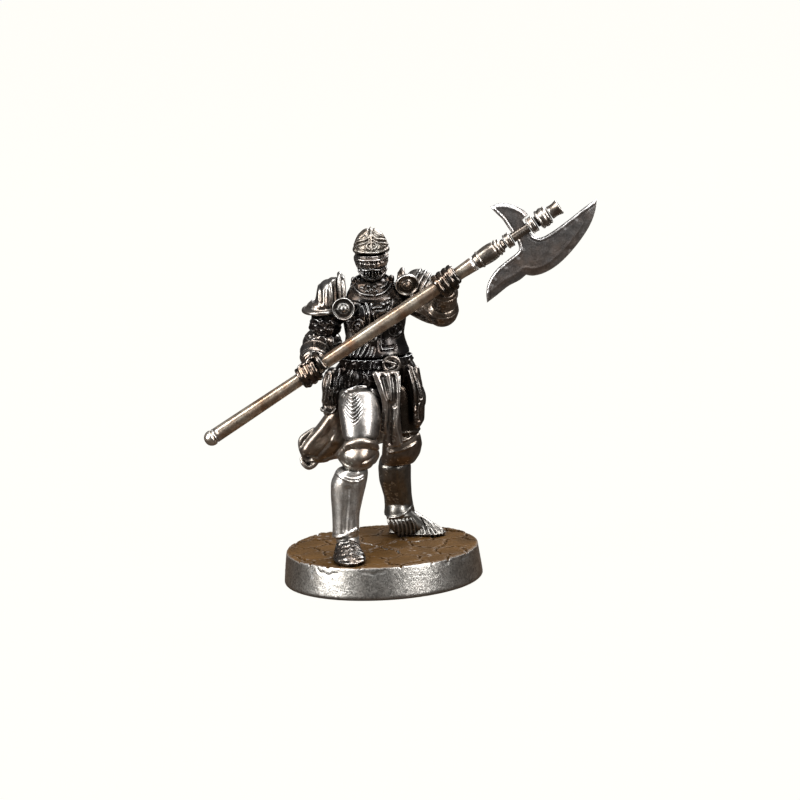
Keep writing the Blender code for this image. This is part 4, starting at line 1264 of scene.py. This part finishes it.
def make_loincloth():
    """Hanging cloth between the thighs, in three broad folds."""
    cloth = Casting("loincloth", (1.08, 1.3, 1), (0.4, 0.8, 0.5), 0.06, VOXEL, 0.16, 3)
    crests = (
        ([(-1.2, 4.6), (-0.5, 2.6), (-0.1, 0.8), (-0.3, -1.4), (-0.85, -4.4)], 0.34),
        ([(0.3, 4.4), (0.5, 3), (0.45, 1.4)], 0.3),
        ([(1.45, 4.4), (1.35, 2.2), (1.2, 0.2), (0.95, -2.2), (1.2, -4.5)], 0.3),
    )
    pleat(cloth, crests, 0.6 * MM)
    furrows = (
        ([(-0.3, 4.2), (0.1, 2.2), (0.4, 0.2), (0.15, -2), (0.1, -4.4)], -0.34),
        ([(0.9, 4.2), (1, 2.4), (0.85, 0.6)], -0.34),
    )
    pleat(cloth, furrows, 0.42 * MM)
    cloth.rib([(-1.55, 4.8), (-0.95, 2.9), (-0.5, 1.1), (-0.65, -1.4), (-1.15, -4.5)], 0.15)
    cloth.rib([(1.75, 4.2), (1.6, 2.3), (1.35, 0), (1.05, -2.2), (1.25, -3.6), (1.4, -4.5)], 0.15)
    cloth.finish(FOLD, "cast_cloth")


def make_drape(side):
    """Hanging end of the hip cloth, thick with folds."""
    node = side + "_hip_drape"
    drape = Casting(node, puff=0.08, voxel=THIN)
    if side == "right":
        lumps = (
            ((-0.2, -1, 2.4, 0.5), (-0.4, -1.2, 1.2, 0.7), (-0.5, -1.3, 0, 0.6), (-0.7, -1.3, -0.9, 0.55)),
            ((0.5, -1, 1.4, 0.45), (0.4, -1.2, 0.2, 0.55), (0.25, -1.2, -1, 0.5)),
            (
                (-1.15, -0.9, -2, 0.35), (-0.6, -1.2, -1.9, 0.6), (0.1, -1.3, -2.1, 0.55),
                (0.5, -1.1, -1.4, 0.4),
            ),
        )
        lines = (
            ([(-0.1, 2.4), (-0.45, 1.4), (-0.6, 0.4), (-0.85, -0.8)], 0.13),
            ([(0.45, 1.6), (0.35, 0.6), (0.1, -0.4), (0.2, -1.3)], 0.12),
            ([(-1.2, -1.9), (-0.6, -2.3), (0, -2.4), (0.5, -1.8)], 0.12),
            ([(-0.2, 0.9), (0.1, 0.4), (-0.1, -0.2)], 0.12),
        )
    else:
        lumps = (
            (
                (-0.8, -0.6, 3.6, 0.45), (-0.3, -0.9, 2.2, 0.6), (0.1, -0.9, 0.6, 0.65),
                (0.2, -0.8, -1, 0.6), (-0.1, -0.7, -2.6, 0.5),
            ),
            ((0.3, -0.7, 1.2, 0.45), (0.5, -0.8, 0.3, 0.5), (0.45, -0.8, -0.6, 0.5)),
            ((-0.2, -0.9, -1.4, 0.4), (-0.3, -0.9, -2.2, 0.45), (-0.1, -0.8, -3.2, 0.42)),
        )
        lines = (
            ([(-1, 3.6), (-0.7, 2.2), (-0.45, 0.9), (-0.4, -0.4), (-0.5, -1.6)], 0.16),
            ([(-0.1, 2.4), (0.1, 1.2), (0.35, 0.2)], 0.1),
            ([(0.1, -0.6), (-0.1, -1.5), (-0.1, -2.6)], 0.11),
        )
    for knots in lumps:
        drape.limb(*knots)
    drape.fuse()
    for points, radius in lines:
        drape.line(points, radius)
    drape.finish(CLOTH, "cast_cloth")


def make_coat_tail():
    """Coat skirt blown out behind, its lower corner curled over a hollow."""
    tail = Casting("coat_tail", puff=0.1, coarse=0.3, smooth=6)
    tail.limb((-2.6, -0.4, 0.6, 0.9), (-4, -0.6, -1.8, 1.3), (-5.4, -0.7, -3.4, 1.3), (-6.1, -0.8, -4.2, 1.1))
    tail.limb((-2, -0.2, -1.5, 1), (-3.4, -0.4, -3.6, 1.2), (-4.6, -0.4, -4.6, 1.1))
    tail.fuse()
    crests = (
        ([(-3.2, 0), (-4.6, -1.6), (-6.2, -3.2), (-7, -4.2)], 0.25),
        ([(-2.2, -1.2), (-3.6, -3), (-4.8, -4.6), (-5.6, -5.2)], 0.22),
        ([(-0.6, -0.5), (-1, -3), (-1.4, -5.2)], 0.35),
        ([(1.4, 2.5), (1.2, -1), (1.1, -4.6)], 0.35),
        ([(3.6, 3), (3.9, -0.5), (3.8, -4.2)], 0.35),
        ([(-2.9, 3), (-2.6, 0.5), (-2.9, -3)], 0.35),
        ([(0.2, 3), (0, 0), (-0.2, -2.5)], 0.25),
    )
    pleat(tail, crests, 0.9 * MM, (INWARD, -INWARD))
    hollow = np.array(tail.anchor + mm(-6.35, -1.6, -5.15))
    gap = np.linalg.norm((tail.points() - hollow) / np.array((0.9, 1, 0.55)), axis=1)
    tail.push(-0.5 * MM * bump(gap, 1.1 * MM))
    curl = (
        (
            (-5.6, -0.5, -1.75, 0.3), (-6.6, -0.6, -2.4, 0.4), (-7.2, -0.6, -3, 0.42),
            (-7.3, -0.6, -4, 0.36), (-7.1, -0.7, -4.8, 0.32),
        ),
        (
            (-7.1, -0.9, -4.7, 0.3), (-6.5, -1.2, -4.75, 0.3), (-5.9, -1.3, -4.95, 0.34),
            (-5.3, -1.1, -5.4, 0.34),
        ),
        (
            (-7.35, -0.8, -5.35, 0.24), (-7.1, -1, -6, 0.3), (-6.5, -1.1, -6.45, 0.32),
            (-5.8, -1, -6.2, 0.32), (-5.3, -0.9, -5.6, 0.3),
        ),
        ((-7, -0.3, -5, 0.4), (-6.4, -0.4, -5.6, 0.6), (-5.8, -0.4, -5.5, 0.6)),
    )
    for knots in curl:
        tail.limb(*knots)
    tail.finish(TAIL, "cast_cloth")


# Halberd


def reach_on_haft(node):
    """Start and end of a node along the haft, and its radius, in mm, from its mesh."""
    points = [(vertex.co - HAFT_START) for vertex in frame["nodes"][node].data.vertices]
    shares = [point.dot(HAFT_RUN) for point in points]
    radii = [(point - HAFT_RUN * point.dot(HAFT_RUN)).length for point in points]
    return min(shares) / MM, max(shares) / MM, max(radii) / MM


def round_piece(node, profile, material, facets=0):
    """Replace a round node by a finer profile; along is in mm from the node's lower end."""
    start = reach_on_haft(node)[0]
    spokes = 64
    shape = bmesh.new()
    rings = []
    for along, radius in profile:
        ring = []
        for number in range(spokes):
            degrees = 360 * number / spokes
            wide = radius * (1 + facets * math.cos(math.radians(8 * degrees + 20)))
            ring.append(shape.verts.new(round_haft(HAFT_START, (start + along) * MM, wide * MM, degrees)))
        rings.append(ring)
    bridge(shape, rings)
    declare(add_object(node, from_bmesh(node, shape)), material, node)


def make_haft():
    """Haft that swells at its upper end, and its round butt."""
    start, end, radius = reach_on_haft("halberd_haft")
    length = end - start
    profile = []
    for number in range(61):
        share = number / 60
        swell = 1.03 + 0.05 * math.cos(2 * math.pi * share * 1.5) + 0.16 * max(0, share - 0.94) / 0.06
        profile.append((length * share, radius * swell))
    round_piece("halberd_haft", profile, HAFT, 0.018)
    cap = (
        (0, 0.12), (0.04, 0.35), (0.14, 0.56), (0.32, 0.76), (0.55, 0.9), (0.8, 0.97), (1.05, 0.98),
        (1.2, 0.93), (1.27, 0.82), (1.33, 0.8), (1.38, 0.88), (1.46, 0.92), (1.56, 0.9), (1.6, 0.84),
        (1.62, 0.7),
    )
    round_piece("haft_butt_cap", cap, HAFT)


def make_halberd_fittings():
    """Turned fittings that run up the haft to its open tip."""
    socket = (
        (0, 0.86), (0.06, 0.92), (0.3, 0.96), (0.5, 1), (0.58, 1.1), (0.68, 1.14), (0.78, 1.1),
        (0.84, 1.03), (0.95, 1.04), (1.4, 1.1), (1.9, 1.13), (2.4, 1.12), (2.75, 1.07), (2.95, 1.03),
        (3.02, 0.94), (3.08, 0.92), (3.14, 0.98), (3.2, 1.06), (3.32, 1.08), (3.42, 1.03), (3.48, 0.9),
        (3.54, 0.88), (3.6, 0.93), (3.72, 0.96), (3.82, 0.92), (3.88, 0.78), (3.96, 0.66), (4.1, 0.6),
        (4.34, 0.6),
    )
    round_piece("halberd_socket", socket, SOCKET, 0.012)
    collar = (
        (0, 0.6), (0.03, 0.8), (0.1, 0.93), (0.18, 0.98), (0.26, 0.95), (0.32, 0.88), (0.4, 0.9),
        (0.5, 0.94), (0.6, 0.92), (0.66, 0.9), (0.72, 0.96), (0.8, 0.98), (0.87, 0.92), (0.92, 0.75),
        (0.94, 0.6),
    )
    round_piece("lower_collar", collar, SOCKET)
    middle = [(along, radius * 1.12) for along, radius in collar]
    round_piece("middle_collar", middle, SOCKET)
    start, end = reach_on_haft("upper_shaft")[:2]
    reach = end - start
    shaft = [(reach * number / 24, 0.62 + 0.02 * math.sin(number * 1.9)) for number in range(25)]
    round_piece("upper_shaft", shaft, SOCKET, 0.03)
    ball_profile = (
        (0, 0.6), (0.05, 0.7), (0.28, 0.72), (0.32, 0.95), (0.4, 1.16), (0.52, 1.26), (0.62, 1.24),
        (0.7, 1.16), (0.8, 1.17), (1.05, 1.27), (1.3, 1.26), (1.42, 1.16), (1.5, 1.14), (1.58, 1.2),
        (1.7, 1.2), (1.8, 1.1), (1.86, 0.9), (1.9, 0.7),
    )
    round_piece("upper_collar", ball_profile, SOCKET)
    tip = (
        (0, 0.7), (0.05, 0.86), (0.3, 0.84), (0.6, 0.82), (0.9, 0.85), (1.2, 0.92), (1.38, 0.97),
        (1.46, 0.95), (1.5, 0.86), (1.48, 0.7), (1.4, 0.58), (1.1, 0.5), (0.7, 0.46), (0.62, 0.3),
        (0.6, 0.12),
    )
    round_piece("haft_tip", tip, SOCKET)


def blade_piece(node, edges, closing, cut_edges, rim_edges, bevel):
    """Cut a blade from outline edges in mm along and aside of the haft, with thickness by distance."""
    outline = []
    for edge in edges:
        outline += [Vector(point) for point in curve_through(edge, 8)[:-1]]
    outline += [Vector(point) for point in closing]
    flat = np.array([tuple(point) for point in outline])
    low_a, low_b = flat.min(0)
    high_a, high_b = flat.max(0)
    # Loose points fill the outline, so that the thickness can vary over the face
    spacing = 0.14
    inside = []
    for row in range(int((high_b - low_b) / spacing) + 1):
        for column in range(int((high_a - low_a) / spacing) + 1):
            inside.append((low_a + spacing * (column + 0.5 * (row % 2)), low_b + spacing * (row + 0.5)))
    inside = np.array(inside)
    crossings = np.zeros(len(inside), dtype=int)
    for first, second in zip(flat, np.roll(flat, -1, axis=0)):
        hits = (first[1] > inside[:, 1]) != (second[1] > inside[:, 1])
        slope = (second[0] - first[0]) / (second[1] - first[1] + 1e-12)
        crossings += hits & (inside[:, 0] < first[0] + (inside[:, 1] - first[1]) * slope)
    border = np.vstack([flat, flat[:1]])
    inside = inside[(crossings % 2 == 1) & (to_path(inside, border) > 0.06)]
    count = len(outline)
    loop = [(number, (number + 1) % count) for number in range(count)]
    corners, _, faces, *_ = delaunay_2d_cdt(outline + [Vector(point) for point in inside], loop, [], 1, 1e-7)
    points = np.array([tuple(point) for point in corners])
    cut_distance = to_path(points, np.vstack([np.array(curve_through(edge, 8)) for edge in cut_edges]))
    rim_distance = np.full(len(points), 1e9)
    for edge in rim_edges:
        rim_distance = np.minimum(rim_distance, to_path(points, curve_through(edge, 8)))
    # Half thickness: a bevel with a ridge behind the cut, and a thin rim with a raised line inside it
    half = 0.05 + 0.24 * np.clip(cut_distance / bevel, 0, 1)
    half += 0.05 * bump(np.abs(cut_distance - bevel), 0.2)
    half -= 0.17 * (1 - np.clip(rim_distance / 0.12, 0, 1)) * (cut_distance > 0.3)
    half += 0.12 * bump(np.abs(rim_distance - 0.24), 0.13) * (cut_distance > 0.25)
    half -= 0.05 * bump(np.abs(rim_distance - 0.42), 0.12)
    half += 0.012 * np.sin(points[:, 0] * 3.1 + points[:, 1]) * np.sin(points[:, 1] * 2.7)
    half = np.maximum(half, 0.04)
    plane = HAFT_START + HAFT_RUN * reach_on_haft("lower_collar")[0] * MM
    shape = bmesh.new()
    front, back = [], []
    for point, depth in zip(points, half):
        place = plane + HAFT_RUN * point[0] * MM + HAFT_OVER * point[1] * MM
        front.append(shape.verts.new(place + HAFT_FRONT * depth * MM))
        back.append(shape.verts.new(place - HAFT_FRONT * depth * MM))
    borders = {}
    for face in faces:
        shape.faces.new([front[index] for index in face])
        shape.faces.new([back[index] for index in reversed(face)])
        for first, second in zip(face, face[1:] + face[:1]):
            borders.setdefault((min(first, second), max(first, second)), []).append((first, second))
    for runs in borders.values():
        if len(runs) == 1:
            first, second = runs[0]
            shape.faces.new((front[second], front[first], back[first], back[second]))
    declare(add_object(node, from_bmesh(node, shape)), BLADE, node)


def make_blades():
    """Axe blade and the fluke at its back."""
    upper_edge = [(3.3, -1.15), (3.9, -1.9), (5.4, -2.1), (8, -2), (10.4, -1.8), (12.3, -1.75)]
    cutting_edge = [
        (12.3, -1.75), (11.3, -2.9), (9.8, -4), (7.8, -4.9), (5.5, -5.6), (3.6, -5.9), (1.9, -5.8),
        (0.6, -5.35), (-0.1, -4.75),
    ]
    lower_edge = [(-0.1, -4.75), (-1.2, -4.85), (-2.7, -4.7), (-4.4, -4.85), (-6, -4.95)]
    inner_edge = [
        (-6, -4.95), (-5.4, -3.9), (-4.4, -2.9), (-2.8, -2.2), (-0.8, -1.95), (0.8, -1.75), (1.3, -0.7),
    ]
    edges = (upper_edge, cutting_edge, lower_edge, inner_edge)
    closing = [(1.3, -0.7), (1.3, -0.2), (3.2, -0.2)]
    blade_piece("axe_blade", edges, closing, (cutting_edge, lower_edge), (upper_edge, inner_edge), 0.95)
    top = [(4.2, 1.3), (4.1, 2.1), (3.4, 3.3), (2.5, 4.2), (1.7, 4.6), (0.9, 4.7)]
    bottom = [(0.9, 4.7), (1.1, 3.6), (1.3, 2.6), (1.3, 1.6), (1.3, 0.7)]
    closing = [(1.3, 0.7), (1.3, 0.2), (3.2, 0.2), (3.3, 1.2)]
    blade_piece("back_fluke", (top, bottom), closing, (top,), (bottom,), 0.4)


def make_pivots():
    """Domed visor pivots at the sides of the helmet."""
    for side in ("left", "right"):
        node = side + "_visor_pivot"
        shape = bmesh.new()
        centre = mid(node)
        inward = mm(-0.22 if side == "left" else 0.22, 0, 0)
        ball(shape, centre + inward, 0.34 * MM, (0.6, 1, 1))
        ring = []
        for number in range(25):
            angle = 2 * math.pi * number / 24
            ring.append(centre + inward + mm(0, 0.32 * math.cos(angle), 0.32 * math.sin(angle)))
        tube(shape, ring, 0.08 * MM)
        piece = add_object(node, from_bmesh(node, shape))
        remesh(piece, FINE, 1)
        declare(piece, DISC, node)


# Base


# Chips of the rim: middle and half width in degrees, depth in mm
CHIPS = ((-5.5, 8.5, 0.75), (326, 9, 1), (40, 4, 0.45), (57, 5, 0.5))


def make_base():
    """Round base: paved top with cracks, broken rim, tapered polished side."""
    lower, upper = low("base"), high("base")
    centre = mid("base")
    radius = (upper.x - lower.x) / 2 / MM
    height = (upper.z - lower.z) / MM
    spokes = 400
    chance = np.random.default_rng(11)
    stones_across = 7
    middle_stone = stones_across // 2
    seeds = []
    for row in range(stones_across):
        for column in range(stones_across):
            x = (column - middle_stone + 0.5 * (row % 2)) * 4.2 + chance.uniform(-1.1, 1.1)
            y = (row - middle_stone) * 4.0 + chance.uniform(-1, 1)
            seeds.append((x, y))
    seeds = np.array(seeds)
    lift = chance.uniform(-0.08, 0.06, len(seeds))
    tilt = chance.uniform(-0.025, 0.025, (len(seeds), 2))

    def paving(x, y):
        """Height of the paving at points, in mm: tilted stones with sunk joints and a fine grain."""
        bent_x = x + 0.3 * np.sin(y * 1.3) + 0.12 * np.sin(y * 4.1 + x)
        bent_y = y + 0.3 * np.sin(x * 1.1 + 1) + 0.12 * np.sin(x * 3.7 - y)
        gaps = np.hypot(bent_x[:, None] - seeds[:, 0], bent_y[:, None] - seeds[:, 1])
        order = np.argsort(gaps, axis=1)
        rows = np.arange(len(x))
        nearest = order[:, 0]
        between_stones = gaps[rows, order[:, 1]] - gaps[rows, nearest]
        level = lift[nearest] + tilt[nearest, 0] * (x - seeds[nearest, 0])
        level = level + tilt[nearest, 1] * (y - seeds[nearest, 1])
        joint_depth, joint_width = 0.4, 0.26
        crack = -joint_depth * bump(between_stones, joint_width)
        grain = 0.03 * np.sin(x * 5.3 + np.sin(y * 3)) * np.sin(y * 6.1 + np.sin(x * 2.3))
        grain += 0.02 * np.sin(x * 13 + y * 4) * np.sin(y * 11 - x * 3)
        return level + crack + grain

    top_rings, side_rings = 84, 22
    top_radius = radius - 0.62
    side_radius, side_height = top_radius + 0.17, height - 0.16
    # Radius, height, and the share of the paving's relief that the ring takes
    profile = []
    for number in range(top_rings):
        profile.append((top_radius * (number + 1) / top_rings, height, 1))
    profile += [(top_radius + 0.1, height - 0.05, 0.8), (side_radius, side_height, 0.55)]
    for number in range(1, side_rings):
        share = number / side_rings
        wide = side_radius + (radius - side_radius) * share ** 0.9
        profile.append((wide, side_height - (height - 0.55) * share, 0.4 * (1 - share) ** 4))
    for z, inset in ((0.3, 0.02), (0.2, 0.08), (0.1, 0.18), (0.03, 0.32), (0, 0.5)):
        profile.append((radius - inset, z, 0))
    for share in (0.92, 0.6, 0.3):
        profile.append((radius * share, 0, 0))
    angles = np.arange(spokes) * 2 * math.pi / spokes
    foot = Vector((centre.x, centre.y, lower.z))
    shape = bmesh.new()
    rings = []
    for distance, z, share in profile:
        x, y = distance * np.sin(angles), -distance * np.cos(angles)
        rise = np.zeros(spokes)
        push_out = np.zeros(spokes)
        if share:
            rise = paving(x, y) * share
        if 0 < z < height - 0.2:
            push_out = chance.normal(0, 0.006, spokes) + 0.01 * np.sin(angles * 9 + z)
            degrees = np.degrees(angles)
            for middle, wide, deep in CHIPS:
                gap = np.abs((degrees - middle + 180) % 360 - 180)
                edge = height - deep * np.clip(1 - (gap / wide) ** 4, 0, 1)
                edge += 0.12 * np.sin(degrees * 0.9)
                push_out = push_out - 0.08 * bump(np.abs(z - edge), 0.2) * (gap < wide)
        x, y = x * (1 + push_out / distance), y * (1 + push_out / distance)
        rings.append([shape.verts.new(foot + mm(a, b, z + c)) for a, b, c in zip(x, y, rise)])
    bridge(shape, rings)
    declare(add_object("base", from_bmesh("base", shape)), BASE, "base")


# Camera and light


def make_camera():
    """Look at the figure from the front and a little above, with a slight roll."""
    elevation = math.radians(10.6)
    roll = math.radians(3)
    distance = 0.5
    off_centre = mm(-0.4, 0, -1.1)
    aim = (BOX_LOW + BOX_HIGH) / 2
    aim.y = 0
    aim += off_centre
    back = Vector((0, -math.cos(elevation), math.sin(elevation)))
    flat_right = Vector((1, 0, 0))
    flat_up = back.cross(flat_right)
    right = flat_right * math.cos(roll) - flat_up * math.sin(roll)
    up = flat_up * math.cos(roll) + flat_right * math.sin(roll)
    data = bpy.data.cameras.new("camera")
    data.sensor_width = 36
    data.lens = 180
    data.clip_start = 0.01
    camera = add_object("camera", data)
    turn = Matrix((right, up, back)).transposed().to_4x4()
    camera.matrix_world = Matrix.Translation(aim + back * distance) @ turn
    bpy.context.scene.camera = camera
    return aim


def make_softbox(name, azimuth, elevation, distance, size, power, colour, aim):
    """Hang a rectangular light facing the figure. Azimuth 0 is the camera's side, + is to the right."""
    around, above = math.radians(azimuth), math.radians(elevation)
    level = math.cos(above)
    out = Vector((math.sin(around) * level, -math.cos(around) * level, math.sin(above)))
    data = bpy.data.lights.new(name, "AREA")
    data.shape = "RECTANGLE"
    data.size, data.size_y = size
    data.energy = power
    data.color = colour
    lamp = add_object(name, data)
    lamp.location = aim + out * distance
    lamp.rotation_euler = out.to_track_quat("Z", "Y").to_euler()


def make_studio(aim):
    """Light the figure with softboxes over a pale floor."""
    # Azimuth and elevation in degrees, distance and size in metres, power in watts, colour
    for softbox in (
        ("left_softbox", -62, 24, 0.5, (0.2, 0.4), 3.6, (1, 0.99, 0.97)),
        ("right_softbox", 42, 28, 0.5, (0.16, 0.4), 2.8, (1, 0.99, 0.98)),
        ("top_softbox", 0, 72, 0.45, (0.3, 0.18), 2, (1, 1, 1)),
        ("back_softbox", 150, 35, 0.5, (0.3, 0.3), 2.5, (1, 1, 1)),
    ):
        make_softbox(*softbox, aim)
    world = bpy.data.worlds.new("studio")
    bpy.context.scene.world = world
    world.use_nodes = True
    tree = world.node_tree
    tree.nodes.clear()
    where = add_node(tree, "TexCoord")
    split = add_node(tree, "SeparateXYZ", Vector=where.outputs["Generated"])
    rescale = add_node(tree, "MapRange", From_Min=-1, Value=split.outputs["Z"])
    ramp = add_node(tree, "ValToRGB", Fac=rescale.outputs["Result"])
    background = add_node(tree, "Background", Color=ramp.outputs["Color"])
    add_node(tree, "OutputWorld", Surface=background.outputs["Background"])
    stops = ramp.color_ramp.elements
    stops[0].color = (0.13, 0.102, 0.08, 1)
    stops[1].color = (0.3, 0.3, 0.3, 1)
    stops.new(0.47).color = (0.08, 0.067, 0.058, 1)
    stops.new(0.53).color = (0.06, 0.06, 0.062, 1)
    shape = bmesh.new()
    bmesh.ops.create_grid(shape, x_segments=2, y_segments=2, size=3)
    floor = add_object("floor", from_bmesh("floor", shape))
    floor.location.z = BOX_LOW.z - 0.005 * MM
    pale = bpy.data.materials.new("pale_floor")
    pale.use_nodes = True
    inputs = pale.node_tree.nodes["Principled BSDF"].inputs
    inputs["Base Color"].default_value = (0.01, 0.01, 0.01, 1)
    inputs["Roughness"].default_value = 0.9
    inputs["Specular IOR Level"].default_value = 0.0
    inputs["Emission Color"].default_value = (1, 0.988, 0.94, 1)
    inputs["Emission Strength"].default_value = 1.0
    floor.data.materials.append(pale)
    floor.visible_glossy = False
    bpy.context.scene.view_settings.view_transform = "Standard"


def build():
    """Sculpt every piece."""
    make_base()
    make_right_leg()
    make_left_leg()
    for side in ("right", "left"):
        make_sabaton(side)
    make_fauld()
    make_belt()
    make_buckle()
    make_loincloth()
    for side in ("right", "left"):
        make_drape(side)
    make_coat_tail()
    make_breastplate()
    make_backplate()
    make_gorget()
    make_helmet()
    make_visor()
    make_bevor()
    make_pivots()
    make_right_pauldron()
    make_left_pauldron()
    for side in ("right", "left"):
        make_haute_piece(side)
        make_besagew(side)
        make_cuff(side)
        make_fist(side)
    make_right_arm()
    make_left_arm()
    make_haft()
    make_halberd_fittings()
    make_blades()


build()
make_studio(make_camera())
